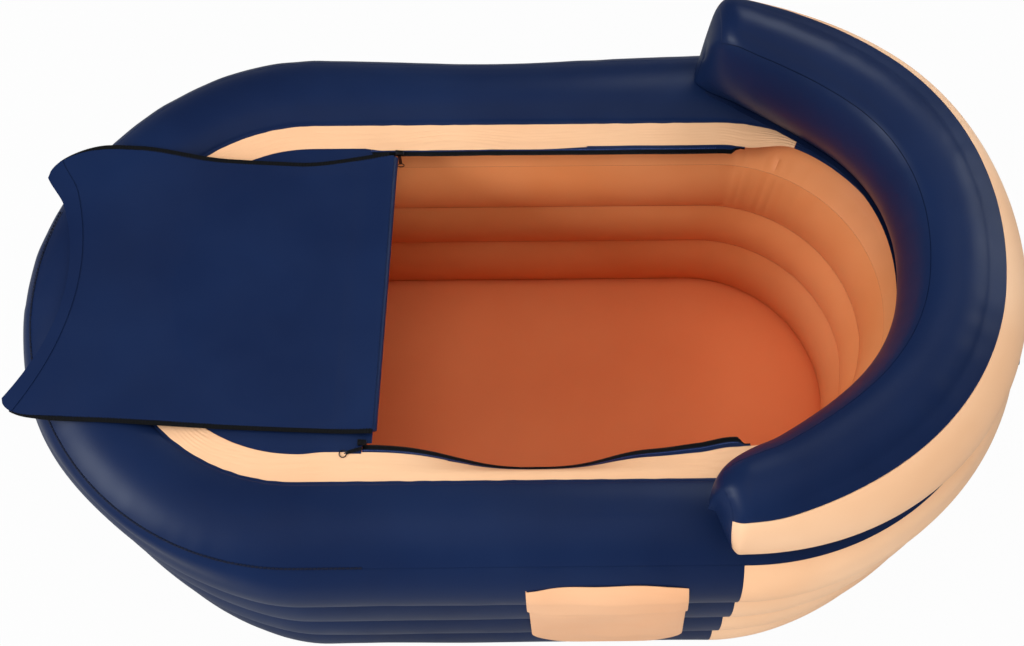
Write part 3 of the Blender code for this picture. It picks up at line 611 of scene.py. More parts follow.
def puckerWall(low, high, seed, side, shortDepth=0.0):
    # soft upright wrinkles that fade away from the creases at low and high
    def move(points):
        inset, angle, along = planPlace(points)
        near = np.minimum(points[:, 2] - low, high - points[:, 2])
        started = smoothStep(near / wallRings["fadeIn"])
        fade = np.exp(-np.maximum(near, 0) / wallRings["puckerReach"]) * started
        wave = ripple(along, wallRings["puckerLengths"], seed)
        wave = wave * ripple(along, wallRings["crossLengths"], seed + 7)
        slow = ripple(along, wallRings["sagLengths"], seed + 3)
        slow = slow * smoothStep(near / wallRings["slowIn"])
        here = inset > wallRings["insideFrom"]
        if side == "outside":
            here = inset < wallRings["outsideTo"]
        shift = wallRings["puckerDepth"] * wave * fade * 1.6 + wallRings["sagDepth"] * slow * 0.5
        short = ripple(along, wallRings["shortLengths"], seed + 9)
        short = short * bell(angle, wallRings["shortAngle"], wallRings["shortSpread"])
        turned = smoothStep((points[:, 0] - straightHalf) / wallRings["shortRun"])
        shift = shift + shortDepth * turned * short * started
        return moveOutline(points, np.where(here, shift, 0.0))

    return move


def darkOutside(chamber):
    # the sheets cover the chamber everywhere but inside the bath
    chamber.data.materials.append(materials["navyVinyl"])
    for face in chamber.data.polygons:
        beyond = max(abs(face.center.x) - straightHalf, 0.0)
        inset = plan["halfWidth"] - math.hypot(beyond, face.center.y)
        if inset < plan["flangeIn"] - 0.004:
            face.material_index = 1


def makeRing(index):
    name = wallRings["names"][index]
    node = name.lower()
    lowOut, topOut, topIn, lowIn = ringCorners(index)
    section = arcPoints(lowOut, topOut, plan["ringBulge"], 9, wallRings["underSkin"])
    section += arcPoints(topIn, lowIn, plan["innerBulge"], 22)
    if index == 0:
        rest = bathFloor["ground"] + plan["gap"]
        section += [(plan["creaseIn"], rest), (plan["baseRoll"], rest),
            (plan["baseRoll"] * wallRings["lip"][0], rest + wallRings["lip"][1])]
    chamber = allRound("chamber" + name, section)
    reshape(chamber, drawWall)
    reshape(chamber, leanNear)
    reshape(chamber,
        puckerWall(lowIn[1], topIn[1], 11 + index, "inside",
            wallRings["shortDepth"] * (0.5 if index == 2 else 0.0)))
    finishPiece(chamber, "tub", "orangeVinyl", ["chamber_" + node])
    darkOutside(chamber)
    skin = sheetSection(lowOut, topOut, plan["ringBulge"], 16)
    for title, half, finish in (("footSkin", footHalf, "navyVinyl"),
            ("headSkin", headHalf, "peachVinyl")):
        piece = half(title + name, skin, 0.0)
        reshape(piece, drawWall)
        reshape(piece, puckerWall(lowOut[1], topOut[1], 31 + index, "outside"))
        finishPiece(piece, "tub", finish,
            [("foot_skin_" if title == "footSkin" else "head_skin_") + node])


def makeWeb(index):
    name = wallRings["names"][index]
    inner = plan["topCreaseIn"] if index == 2 else plan["creaseIn"]
    outerCrease = Vector((plan["creaseOut"], plan["outerCreases"][index]))
    innerCrease = Vector((inner, plan["innerCreases"][index]))
    along = (innerCrease - outerCrease).normalized()
    up = Vector((-along.y, along.x)) * plan["sheet"] / 2
    start, end = outerCrease + along * wallRings["webOut"], innerCrease - along * wallRings["webIn"]
    web = allRound("web" + name, [tuple(p) for p in (start - up, start + up, end + up, end - up)])
    reshape(web, drawWall)
    reshape(web, leanNear)
    finishPiece(web, "tub", "webVinyl", ["web_" + name.lower()])


for ringIndex in range(3):
    makeRing(ringIndex)
    makeWeb(ringIndex)
print("wall rings done")


# Rim: the big top tube, its navy top sheet and its welded outer seam
rim = {
    "trim": 0.002, "tuck": 0.028, "split": 0.006,
    "seamPucker": 0.0011, "seamLengths": (0.034, 0.047, 0.061), "seamReach": 0.016,
    "swellDepth": 0.0020, "swellLengths": (0.31, 0.47, 0.83),
    "round": 0.0045, "skinTrim": 0.0008, "beadRadius": 0.0013, "grooveInset": 0.1285,
    "grooveDepth": 0.0013,
    "grooveWidth": 0.0016, "edgeIn": 0.004, "overBand": 0.012, "crossLengths": (0.29, 0.44),
    "stitchFrom": 0.10, "stitchTurn": 0.62, "stitchSlant": 8,
    "stitch": (0.0052, 0.0030, 0.0014), "stitchPitch": 0.0062, "stitchRise": 0.0017,
}


def rimHeight(inset):
    flange, crown = plan["flangeIn"], plan["crown"]
    radius = bulgeRadius(flange, crown)
    across = np.clip(inset, 0.0, flange) - flange / 2
    dome = np.sqrt(radius * radius - across * across) - (radius - crown)
    slope = plan["flangeRise"] * np.clip(inset / flange, 0.0, 1.0)
    overBand = smoothStep(1 + (inset - flange) / rim["overBand"])
    lift = (bandTop - plan["seamHeight"] - plan["flangeRise"]) * overBand
    return plan["seamHeight"] + slope + dome + lift


def puckerTop(points):
    # the weld gathers the sheet a little along the outer seam
    inset, _, along = planPlace(points)
    inner = plan["flangeIn"] - inset
    wave = ripple(along, rim["seamLengths"], 5)
    wave = wave * (0.6 + 0.4 * ripple(along, rim["crossLengths"], 6))
    slow = ripple(along, rim["swellLengths"], 8)
    slow = slow * np.sin(np.pi * np.clip(inset / plan["flangeIn"], 0, 1))
    points[:, 2] -= rim["grooveDepth"] * bell(inset, rim["grooveInset"], rim["grooveWidth"])
    edge = np.exp(-np.maximum(inset, 0) / rim["seamReach"]) * smoothStep(inset / rim["edgeIn"])
    inside = 0.6 * np.exp(-np.maximum(inner, 0) / rim["seamReach"])
    edge = edge + inside * smoothStep(inner / rim["edgeIn"])
    points[:, 2] += rim["seamPucker"] * wave * edge + rim["swellDepth"] * slow * 0.5
    return points


def makeRim():
    lowOut = (plan["creaseOut"], plan["outerCreases"][2] + webSpace)
    seam = (0.0, plan["seamHeight"])
    flange = (plan["flangeIn"], plan["seamHeight"] + plan["flangeRise"])
    inside = plan["sheet"] + plan["gap"]
    section = arcPoints(lowOut, seam, plan["rimBulge"], 9, wallRings["underSkin"], rim["trim"])
    section += arcPoints(seam, flange, plan["crown"], 8, inside, rim["trim"])
    wallTop = Vector((plan["flangeIn"] + rim["tuck"] / 2, plan["seamHeight"] - rim["tuck"]))
    wallFoot = Vector((plan["topCreaseIn"], plan["innerCreases"][2] + wallRings["space"]))
    section += [tuple(wallTop.lerp(wallFoot, step / 6)) for step in range(7)]
    chamber = allRound("chamberRim", section)
    reshape(chamber, drawWall)
    reshape(chamber, leanNear)
    reshape(chamber, dipFar)
    reshape(chamber, puckerWall(wallFoot.y, wallTop.y, 17, "inside", wallRings["shortDepth"]))
    finishPiece(chamber, "tub", "orangeVinyl", ["chamber_rim"])
    darkOutside(chamber)
    wall = arcPoints(lowOut, seam, plan["rimBulge"], 60)
    cap = arcPoints(seam, flange, plan["crown"], 60)
    outline = roundSeams(wall + cap[1:], rim["round"])
    lengths = np.hypot(*np.diff(np.array(wall + cap[1:]), axis=0).T)
    seamShare = lengths[:60].sum() / lengths.sum()
    skin = partSection(outline, 0.0, seamShare, 30, rim["skinTrim"], plan["sheet"])
    for title, half, finish, node in (("footSkinRim", footHalf, "navyVinyl", "foot_skin_rim"),
                                      ("headSkinRim", headHalf, "peachVinyl", "head_skin_rim")):
        piece = half(title, skin, rim["split"])
        reshape(piece, drawWall)
        reshape(piece, dipFar)
        reshape(piece, puckerWall(lowOut[1], seam[1], 41, "outside"))
        finishPiece(piece, "tub", finish, [node])
    capShare = 1 - (plan["flangeIn"] - rim["grooveInset"]) * 2.2 / lengths.sum()
    sheet = partSection(outline, seamShare, capShare, 34, rim["skinTrim"], plan["sheet"])
    edge = partSection(outline, capShare, 1.0, 10, 0.0, plan["sheet"])
    section = sheet[:35] + edge[1:11] + edge[11:] + sheet[35:]
    top = allRound("topSheet", section)
    reshape(top, dipFar)
    reshape(top, puckerTop)
    finishPiece(top, "tub", "navyVinyl", ["top_sheet"])
    spot = outline[int(seamShare * 599)]
    radius = rim["beadRadius"]
    x, y = spot[0] + radius * 0.7, spot[1] - radius * 0.7
    turns = [2 * math.pi * step / 8 for step in range(8)]
    ring = [(x + radius * math.cos(turn), y + radius * math.sin(turn)) for turn in turns]
    bead = allRound("outerSeam", ring)
    reshape(bead, dipFar)
    finishPiece(bead, "tub", "navyVinyl")
    start = 2 * straightHalf - rim["stitchFrom"]
    end = 2 * straightHalf + math.pi * plan["halfWidth"] * rim["stitchTurn"]

    def place(along, across, up):
        x, y = planPoint(spot[0] + rim["stitchRise"] / 2 + across, start + along)
        return np.stack([x, y, spot[1] + rim["stitchRise"] + up], 1)

    row = stitchRow("seamStitches", int((end - start) / rim["stitchPitch"]), rim["stitchPitch"],
        rim["stitch"], rim["stitchSlant"], place)
    finishPiece(row, "tub", "bondedThread")


makeRim()
print("rim done")


# Flat band round the opening with the strips that carry the zip. The near edge hangs down,
# and the band grows narrow round the head end
openingBand = {
    "width": 0.041, "strip": 0.007, "tape": 0.008, "headAngle": 64.0, "endSteps": 8,
    "sagAngle": 65.0, "sagX": 0.0294, "sagSpread": (0.178, 0.163), "sagPower": 2.68,
    "sagRun": 0.022,
    "shelf": (0.22, 0.228, 0.055), "tapeLift": 26.0, "endWide": (0.0065, 0.275, 0.055),
    "zipStartX": -0.243, "zipEnds": {"near": 1, "far": 3},
    "lineDepth": 0.00045, "waveDepth": 0.0014, "steps": 110,
    "lap": 0.0012, "underTop": 0.004, "step": 0.0005, "lapOver": 0.0056, "lapRun": (-0.16, 0.03),
    "lapRise": 0.0026,
    "lapFrom": (-0.34, -0.26), "lapIn": 0.014, "lapStart": 0.04, "lapEnd": 0.12,
    "endFrom": (0.336, 0.362), "endNarrow": 0.75, "endRun": 0.012,
    "lines": (620, 1150), "lineRun": 0.01, "waveRun": 0.04, "sagWithin": 0.42, "sagOver": 1.12,
    "stitchSlant": 24,
    "droopStart": 0.385, "droopRun": 0.075, "droopAngle": 28.0, "droopBend": 0.030,
    "narrowShare": 0.60,
    "stitch": (0.0022, 0.0007, 0.0006), "stitchPitch": 0.0030, "tooth": (0.0012, 0.0022, 0.0010),
    "toothPitch": 0.0022,
}
stripOuter = plan["flangeIn"] + openingBand["width"]
tapeOuter = stripOuter + openingBand["strip"]
tapeInner = tapeOuter + openingBand["tape"]


def hang(length, steps, bendAt):
    # how far in and down a sheet reaches when it bends by bendAt on its way
    run, fall = np.zeros_like(length), np.zeros_like(length)
    for step in range(steps):
        bend = bendAt(length * (step + 0.5) / steps)
        run += np.cos(bend) * length / steps
        fall += np.sin(bend) * length / steps
    return run, fall


def sagNear(points):
    # the band turns down past the rim, more towards the middle of the near side
    flange = plan["flangeIn"]
    along = plan["halfWidth"] + points[:, 1] - flange
    near = (points[:, 1] < 0) & (along > 0) & (np.abs(points[:, 0]) < openingBand["sagWithin"])
    spread = np.where(points[:, 0] < openingBand["sagX"], openingBand["sagSpread"][0],
        openingBand["sagSpread"][1])
    share = bell(points[:, 0], openingBand["sagX"], spread, openingBand["sagPower"])
    most, place, width = openingBand["shelf"]
    share = share + most * bell(points[:, 0], place, width) * (1 - share)
    angle = math.radians(openingBand["sagAngle"]) * share
    lift = math.radians(openingBand["tapeLift"]) * share
    wide, wideFrom, wideRun = openingBand["endWide"]
    widen = wide * smoothStep((points[:, 0] - wideFrom) / wideRun)
    along = along + widen * smoothStep(along / openingBand["waveRun"])
    edgeAt = tapeOuter - flange - 0.001
    most = angle * openingBand["sagOver"]
    run, fall = hang(along, 64, lambda middle: most * smoothStep(middle / openingBand["sagRun"])
                     - lift * smoothStep((middle - edgeAt) / 0.002))
    points[:, 1] = np.where(near, flange - plan["halfWidth"] + run, points[:, 1])
    points[:, 2] = np.where(near, points[:, 2] - fall, points[:, 2])
    return points


def droopHead(points):
    # at the head end the loose inner edge hangs down along the wall
    across = planPlace(points)[0] - plan["flangeIn"]
    share = smoothStep((points[:, 0] - openingBand["droopStart"]) / openingBand["droopRun"])
    share = np.where(across > 0, share, 0.0)
    points = moveOutline(points, -across * openingBand["narrowShare"] * share)
    across = across * (1 - openingBand["narrowShare"] * share)
    angle = math.radians(openingBand["droopAngle"]) * share
    run, fall = hang(across, 16,
        lambda middle: angle * smoothStep(middle / openingBand["droopBend"]))
    points = moveOutline(points, np.where(across > 0, run - across, 0.0))
    points[:, 2] -= np.where(across > 0, fall, 0.0)
    return points


def waveBand(seed):
    # long fine lines that run with the band, and slow waves along its free edge
    def move(points):
        inset, _, along = planPlace(points)
        across = inset - plan["flangeIn"]
        wide, fine = openingBand["lines"]
        lines = np.sin(across * wide + 5 * ripple(along, (0.31, 0.47), seed))
        lines = lines * ripple(along, (0.19, 0.27, 0.38), seed + 1)
        more = np.sin(across * fine + 7 * ripple(along, (0.23, 0.35), seed + 3))
        lines = lines + more * ripple(along, (0.15, 0.22, 0.33), seed + 4)
        wave = ripple(along, (0.13, 0.21, 0.34), seed + 2)
        wave = wave * smoothStep(across / openingBand["waveRun"])
        lines = openingBand["lineDepth"] * lines * smoothStep(across / openingBand["lineRun"])
        points[:, 2] += lines + openingBand["waveDepth"] * wave * 0.5
        return points

    return move


def lapBand(points):
    # on the foot half the band laps over the strip beside it
    far = points[:, 1] > 0
    start, end = (np.where(far, *openingBand[key][::-1]) for key in ("lapFrom", "lapRun"))
    share = smoothStep((points[:, 0] - start) / openingBand["lapStart"])
    share = share * (1 - smoothStep((points[:, 0] - end) / openingBand["lapEnd"]))
    past = planPlace(points)[0] - (stripOuter - openingBand["lapIn"])
    share = share * smoothStep(past / 0.013) * np.where(far, 1.0, 0.5)
    points = moveOutline(points, share * openingBand["lapOver"])
    points[:, 2] += openingBand["lapRise"] * share
    return points


def endStrip(points):
    # the strip and its tape run out to a narrow end at the head
    start = np.where(points[:, 1] > 0, openingBand["endFrom"][1], openingBand["endFrom"][0])
    share = smoothStep((points[:, 0] - start) / openingBand["endRun"])
    return moveOutline(points,
        -(planPlace(points)[0] - stripOuter) * openingBand["endNarrow"] * share)


def flatSection(outer, inner, steps, low=bandBottom):
    thick = plan["sheet"]
    insets = [outer + (inner - outer) * step / steps for step in range(steps + 1)]
    return [(inset, low + thick) for inset in insets] + [(inset, low) for inset in insets[::-1]]


def zipLegs(side):
    bend = (90 - openingBand["headAngle"]) / openingBand["endSteps"]
    facing = facings[side]
    turnBack = bend * openingBand["zipEnds"][side]
    start = (straightHalf, facing * (90 - turnBack))
    length = straightHalf - openingBand["zipStartX"]
    legs = (("turn", facing * turnBack, 6, straightHalf), ("run", -length, openingBand["steps"], 0))
    return start, legs


def makeBand():
    outer, inner = plan["flangeIn"] - openingBand["underTop"], stripOuter - plan["gap"]
    quarter = 90 - openingBand["headAngle"]
    length, foot = straightHalf - openingBand["zipStartX"], straightHalf + openingBand["zipStartX"]
    steps = openingBand["steps"]
    legs = (("turn", -quarter, 24, straightHalf), ("run", -length, steps, 0), ("run", -foot, 14, 0),
            ("turn", -180, 110, -straightHalf), ("run", foot, 14, 0), ("run", length, steps, 0),
            ("turn", -quarter, 24, straightHalf))
    band = sweepPiece("openingBand", flatSection(outer, inner, 34),
        (straightHalf, -openingBand["headAngle"]), legs)
    reshape(band, waveBand(51))
    reshape(band, lapBand)
    reshape(band, droopHead)
    reshape(band, sagNear)
    # the band gets the peach vinyl with painted shade, darker than the peach of the walls
    finishPiece(band, "tub", "flangeVinylPaintedShade", ["flange_band"])
    gapAngle = math.degrees(plan["gap"] / (plan["halfWidth"] - stripOuter)) * 2
    legs = (("turn", 2 * (openingBand["headAngle"] - gapAngle), 90, straightHalf),)
    head = sweepPiece("openingBandHead", flatSection(outer, inner, 26),
        (straightHalf, gapAngle - openingBand["headAngle"]), legs)
    reshape(head, waveBand(51))
    reshape(head, droopHead)
    finishPiece(head, "tub", "navyVinyl", ["flange_head"])
    for side in ("near", "far"):
        start, legs = zipLegs(side)
        stripSection = flatSection(stripOuter - openingBand["lap"], tapeOuter + plan["gap"], 8,
            bandBottom + openingBand["step"])
        strip = sweepPiece("zipStrip" + side.title(), stripSection, start, legs)
        tape = sweepPiece("zipTape" + side.title(),
            flatSection(tapeOuter - plan["gap"], tapeInner, 6), start, legs)
        for piece, finish, node in ((strip, "navyVinyl", "zip_strip_"),
                (tape, "wovenTape", "zip_tape_")):
            reshape(piece, waveBand(51))
            reshape(piece, endStrip)
            reshape(piece, sagNear)
            finishPiece(piece, "tub", finish, [node + side])
        length = straightHalf - openingBand["zipStartX"]
        facing = facings[side]

        def along(inset, height, facing=facing):
            def place(run, across, up):
                points = np.stack([openingBand["zipStartX"] + run,
                    facing * (plan["halfWidth"] - inset - across), height + up], 1)
                return sagNear(endStrip(waveBand(51)(points)))
            return place

        top = bandTop + openingBand["step"] + openingBand["stitch"][2] / 3
        count = int(length / openingBand["stitchPitch"])
        row = stitchRow("stripStitches" + side.title(), count, openingBand["stitchPitch"],
            openingBand["stitch"], openingBand["stitchSlant"], along(tapeOuter - 0.0016, top))
        finishPiece(row, "tub", "paleThread")
        count = int(length / openingBand["toothPitch"])
        row = stitchRow("zipTeeth" + side.title(), count, openingBand["toothPitch"],
            openingBand["tooth"], 0, along(tapeInner - 0.0008, bandTop))
        finishPiece(row, "tub", "nylonCoil")


makeBand()
print("band and zip tapes done")


# Backrest: a horseshoe tube with its own sheets, on the rim
backrest = {
    "foot": 0.016, "seam": 0.019, "innerSeam": 0.119, "innerFoot": 0.115,
    "lift": 0.0035, "seamHeight": 0.730, "innerSeamHeight": 0.735,
    "outerBulge": 0.0175, "crown": 0.017, "innerBulge": 0.027,
    "draw": 0.052, "shoulder": 0.030, "ends": {"near": 0.294, "far": 0.330},
    "lowBand": 0.050, "shift": 0.025, "shiftAngle": -10.0, "shiftTurn": 62.0, "hold": 0.55,
    "dome": 0.015, "weldWidth": 0.008, "round": 0.010, "soften": 0.045, "sheetTrim": 0.0005,
    "noseIn": 0.075, "noseOut": 0.034, "noseTop": 0.045, "noseInset": 0.060, "noseHeight": 0.640,
    "lean": {"near": (-0.017, 0.032), "far": (-0.001, -0.010)}, "slant": (0.024, 0.060),
    "slantTip": 0.5, "flatten": 0.42, "flatFrom": -15.0, "flatTurn": 45.0, "leanRun": 0.060,
    "waveDepth": 0.0012, "waveLengths": (0.052, 0.071, 0.103), "crossLengths": (0.31, 0.47),
    "waveIn": 0.02, "waveFade": 0.018, "waveLow": 0.62, "waveRise": 0.05, "overlap": 0.0012,
    "domeSteps": 14,
}


def drawBackrest(points):
    x, y, z = points[:, 0], points[:, 1], points[:, 2]
    beyond = np.maximum(x - straightHalf, 0.0)
    reach = np.hypot(beyond, y)
    inset = plan["halfWidth"] - reach
    past, soft = x - straightHalf, backrest["soften"]
    eased = np.where(past < -soft, 0.0,
        np.where(past > soft, past, (past + soft) ** 2 / (4 * soft)))
    turned = 1 - (1 - np.clip(eased / np.maximum(np.hypot(eased, y), 0.01), 0, 1)) ** 3
    moved = inset + backrest["draw"] * np.clip(inset / backrest["shoulder"], 0, 1) * turned
    angle = np.degrees(np.arctan2(y, beyond))
    shifted = smoothStep((angle - backrest["shiftAngle"]) / backrest["shiftTurn"])
    flat = backrest["flatten"] * smoothStep((angle - backrest["flatFrom"]) / backrest["flatTurn"])
    moved = moved + np.maximum(backrest["seam"] - inset, 0) * flat
    lean = np.clip((z - plan["seamHeight"]) / (backrest["seamHeight"] - plan["seamHeight"]), 0, 1)
    outer = 1 - np.clip(inset / backrest["innerFoot"], 0, 1)
    moved = moved - backrest["shift"] * shifted * (1 - backrest["hold"] * (1 - lean) * outer)
    low = (plan["seamHeight"] + plan["crown"] + backrest["lowBand"] - z) / (backrest["lowBand"] / 2)
    points = points.copy()
    points[:, 2] += (rimHeight(moved) - rimHeight(inset)) * np.clip(low, 0, 1)
    return roundEnds(moveOutline(points, moved - inset))


def nose(share):
    return np.sqrt(1 - (1 - np.clip(share, 0.0, 1.0)) ** 2)


def roundEnds(points):
    # the tube narrows like a sausage towards each end, and leans there
    for side, facing in facings.items():
        here = points[:, 1] * facing > 0
        tip = backrest["ends"][side] - backrest["dome"]
        past = np.where(here, points[:, 0] - tip, 1.0)
        inset = plan["halfWidth"] - points[:, 1] * facing
        off = inset - backrest["noseInset"]
        narrow = np.where(off > 0, nose(past / backrest["noseIn"]),
            nose(past / backrest["noseOut"]))
        newInset = backrest["noseInset"] + off * narrow
        rise = points[:, 2] - backrest["noseHeight"]
        low = float(rimHeight(backrest["noseInset"])) + 0.001
        fall = np.where(rise > 0, rise * nose(past / backrest["noseTop"]) ** 0.6, rise)
        newHeight = np.maximum(backrest["noseHeight"] + fall, np.minimum(low, points[:, 2]))
        tall = backrest["seamHeight"] - plan["seamHeight"]
        lean = np.clip((points[:, 2] - plan["seamHeight"]) / tall, 0, 1)
        atTop, atFoot = backrest["lean"][side]
        slant = smoothStep((inset - backrest["slant"][0]) / backrest["slant"][1])
        slant = slant * (backrest["slantTip"] + (1 - backrest["slantTip"]) * narrow)
        ending = 1 - smoothStep(past / backrest["leanRun"])
        shift = (atTop * lean * slant + atFoot * (1 - lean) ** 1.6) * ending
        points[:, 0] = np.where(here, points[:, 0] + shift, points[:, 0])
        points[:, 1] = np.where(here, facing * (plan["halfWidth"] - newInset), points[:, 1])
        points[:, 2] = np.where(here, newHeight, points[:, 2])
    return points


def backrestCorners():
    foot = (backrest["foot"], float(rimHeight(backrest["foot"])) + backrest["lift"])
    innerFoot = (backrest["innerFoot"], float(rimHeight(backrest["innerFoot"])) + backrest["lift"])
    return foot, (backrest["seam"], backrest["seamHeight"]), (backrest["innerSeam"],
        backrest["innerSeamHeight"]), innerFoot


def backrestTube():
    foot, seam, innerSeam, innerFoot = backrestCorners()
    runs = [arcPoints(foot, seam, backrest["outerBulge"], 60),
        arcPoints(seam, innerSeam, backrest["crown"], 60),
            arcPoints(innerSeam, innerFoot, backrest["innerBulge"], 60)]
    points = runs[0] + runs[1][1:] + runs[2][1:]
    lengths = np.hypot(*np.diff(np.array(points), axis=0).T)
    shares = [0.0, lengths[:60].sum() / lengths.sum(), lengths[:120].sum() / lengths.sum(), 1.0]
    return roundSeams(points, backrest["round"]), shares


def backrestOutline(offset, steps):
    outline = backrestTube()[0]
    points = partSection(outline, 0.0, 1.0, steps, rim["trim"], 0.0)[:steps + 1]
    along = np.gradient(np.array(points), axis=0)
    along /= np.hypot(*along.T)[:, None]
    inwards = np.stack([-along[:, 1], along[:, 0]], 1) * offset
    points = [tuple(point) for point in np.array(points) - inwards]
    foot, _, _, innerFoot = backrestCorners()
    for step in range(1, 10):
        inset = innerFoot[0] + (foot[0] - innerFoot[0]) * step / 10
        points.append((inset, float(rimHeight(inset)) + plan["softGap"]))
    return points


def waveBackrest(seed):
    # shallow dents along both seams, where the weld shortens the sheet
    def move(points):
        inset, _, along = planPlace(points)
        slow = ripple(along, backrest["crossLengths"], seed + 1)
        wave = ripple(along, backrest["waveLengths"], seed) * (0.6 + 0.4 * slow)
        seams = (backrest["seam"], backrest["innerSeam"])
        apart = [np.abs(inset - seam - backrest["waveIn"]) for seam in seams]
        fade = np.exp(-np.minimum(*apart) / backrest["waveFade"])
        fade = fade * smoothStep((points[:, 2] - backrest["waveLow"]) / backrest["waveRise"])
        points[:, 2] += backrest["waveDepth"] * wave * fade
        return points

    return move


def backrestSweep(name, profile):
    near, far = straightHalf - backrest["ends"]["near"], straightHalf - backrest["ends"]["far"]
    legs = (("run", near, 16, 0), ("turn", 180, 150, straightHalf), ("run", -far, 5, 0))
    piece = sweepPiece(name, profile, (backrest["ends"]["near"], -90), legs)
    reshape(piece, waveBackrest(71))
    reshape(piece, drawBackrest)
    return piece


def makeDome(side):
    # the rounded end: its loop is pulled out step by step, then rounded with the rest
    outline = backrestOutline(0.0, 48)
    deselectAll()
    bpy.ops.mesh.primitive_circle_add(vertices=len(outline), radius=plan["crown"])
    dome = startPiece("backrestEnd" + side.title())
    for point, (inset, height) in zip(dome.data.vertices, outline):
        reach = facings[side] * (plan["halfWidth"] - inset)
        point.co = (backrest["ends"][side] + backrest["overlap"], reach, height)
    editAll()
    reached, steps = -backrest["overlap"], backrest["domeSteps"]
    for step in range(1, steps + 1):
        goal = backrest["dome"] * (1 - (1 - step / steps) ** 2) * 0.999
        bpy.ops.mesh.extrude_region_move(TRANSFORM_OT_translate={"value": (reached - goal, 0, 0)})
        reached = goal
    bpy.ops.mesh.select_all(action="SELECT")
    bpy.ops.mesh.fill_holes(sides=0)
    bpy.ops.object.mode_set(mode="OBJECT")
    reshape(dome, drawBackrest)
    only(dome)
    editAll()
    bpy.ops.mesh.remove_doubles(threshold=plan["gap"] / 3)
    bpy.ops.object.mode_set(mode="OBJECT")
    finishPiece(dome, "tub", "navyVinyl", ["backrest_end_" + side], angle=60)


def makeBackrest():
    inside = plan["sheet"] + plan["softGap"]
    chamber = backrestSweep("backrestChamber", backrestOutline(inside, 30))
    finishPiece(chamber, "tub", "clearVinyl", ["backrest_chamber"])
    outline, shares = backrestTube()
    for index, (name, finish, node) in enumerate((
        ("backrestOuterSheet", "peachVinyl", "backrest_outer_sheet"),
        ("backrestTopSheet", "navyVinyl", "backrest_top_sheet"),
        ("backrestInnerSheet", "navyVinyl", "backrest_inner_sheet"),
    )):
        section = partSection(outline, shares[index], shares[index + 1], 30, backrest["sheetTrim"],
            plan["sheet"])
        finishPiece(backrestSweep(name, section), "tub", finish, [node])
    outer = backrest["innerFoot"] + plan["gap"]
    inner = outer + backrest["weldWidth"]
    insets = (outer, (outer + inner) / 2, inner)
    heights = [(inset, float(rimHeight(inset)) + plan["softGap"]) for inset in insets]
    section = [(inset, height + plan["sheet"]) for inset, height in heights] + heights[::-1]
    finishPiece(backrestSweep("backrestWeld", section), "tub", "clearVinyl", ["backrest_weld"])
    makeDome("near")
    makeDome("far")


makeBackrest()
print("backrest done")


# Cover: a fixed panel over the foot end, a rolled fold, and the loose flap laid back
cover = {
    "foldX": -0.212, "skew": 2.8, "radius": 0.003, "setback": 0.004, "clearance": 0.0015,
    "length": 0.510, "curveDepth": 0.065, "curveHalf": 0.200,
    "nearHalf": 0.233, "farHalf": 0.237, "farWaist": 0.2225, "farFold": 0.2445,
    "waistRun": 0.160, "waistEnd": 0.280, "tips": {"near": 0.207, "far": 0.177},
    "corners": {"near": 0.047, "far": 0.110}, "powers": (2.1, 0.5),
    "ear": 0.010, "earFrom": 0.125, "earRun": 0.05, "riseInset": 0.235, "riseRun": 0.175,
    "tape": 0.007, "tapeFrom": {"near": 0.0, "far": 0.016}, "hem": 0.018, "hemLift": 0.0013,
    "rollRadius": 0.0065, "rollLift": 0.0083, "rollRun": 0.030,
    "columns": 130, "rows": 150, "waveDepth": 0.0022, "rowPower": 1.25,
    "tapeEnd": 0.975, "tapeUnder": 0.0012, "tapeNarrow": 0.75, "tapeRun": 0.14,
    "panelSteps": (90, 60), "turnAt": 0.7,
    "flat": (0.475, 0.585), "area": 0.47 * 0.52, "panelFlat": (0.534, 0.392), "panelArea": 0.178,
}
foldHeight = bandTop + plan["softGap"] + cover["radius"]
flapBottom = foldHeight + cover["radius"] - plan["sheet"]
foldPoint = Vector((cover["foldX"], 0, foldHeight))
skewAngle = math.radians(cover["skew"])
foldAlong = Vector((math.sin(skewAngle), math.cos(skewAngle), 0))
foldAway = Vector((-foldAlong.y, foldAlong.x, 0))


def flapEnd(across):
    ear = cover["ear"] * smoothStep((across - cover["earFrom"]) / cover["earRun"])
    return cover["length"] + cover["curveDepth"] * (across / cover["curveHalf"]) ** 2 + ear


def flapHalf(side, away):
    if side == "near":
        return np.full_like(away, cover["nearHalf"])
    waist = smoothStep(away / cover["waistRun"])
    wide = smoothStep((away - cover["waistEnd"]) / cover["waistRun"])
    half = cover["farFold"] + (cover["farWaist"] - cover["farFold"]) * waist
    return half + (cover["farHalf"] - cover["farWaist"]) * wide


def flapSide(side, row):
    tip, start = cover["tips"][side], cover["radius"] + plan["gap"]
    end = flapEnd(tip if side == "far" else -tip)
    away = start + (end - start) * row
    bend = np.clip(1 - (end - away) / cover["corners"][side], 0, 1)
    first, last = cover["powers"]
    half = tip + (flapHalf(side, away) - tip) * (1 - bend ** first) ** last
    return np.stack([half if side == "far" else -half, away], -1)


def flapPatch(column, row):
    column, row = column[:, None], row[:, None]
    zero, one = np.zeros(len(row)), np.ones(len(row))
    near0, far0 = flapSide("near", zero), flapSide("far", zero)
    near1, far1 = flapSide("near", one), flapSide("far", one)
    start = near0 + (far0 - near0) * column
    across = cover["tips"]["far"] * column - cover["tips"]["near"] * (1 - column)
    end = np.concatenate([across, flapEnd(across)], 1)
    corners = start + ((near1 + (far1 - near1) * column) - start) * row
    nearSide, farSide = flapSide("near", row[:, 0]), flapSide("far", row[:, 0])
    return nearSide + (farSide - nearSide) * column + start + (end - start) * row - corners


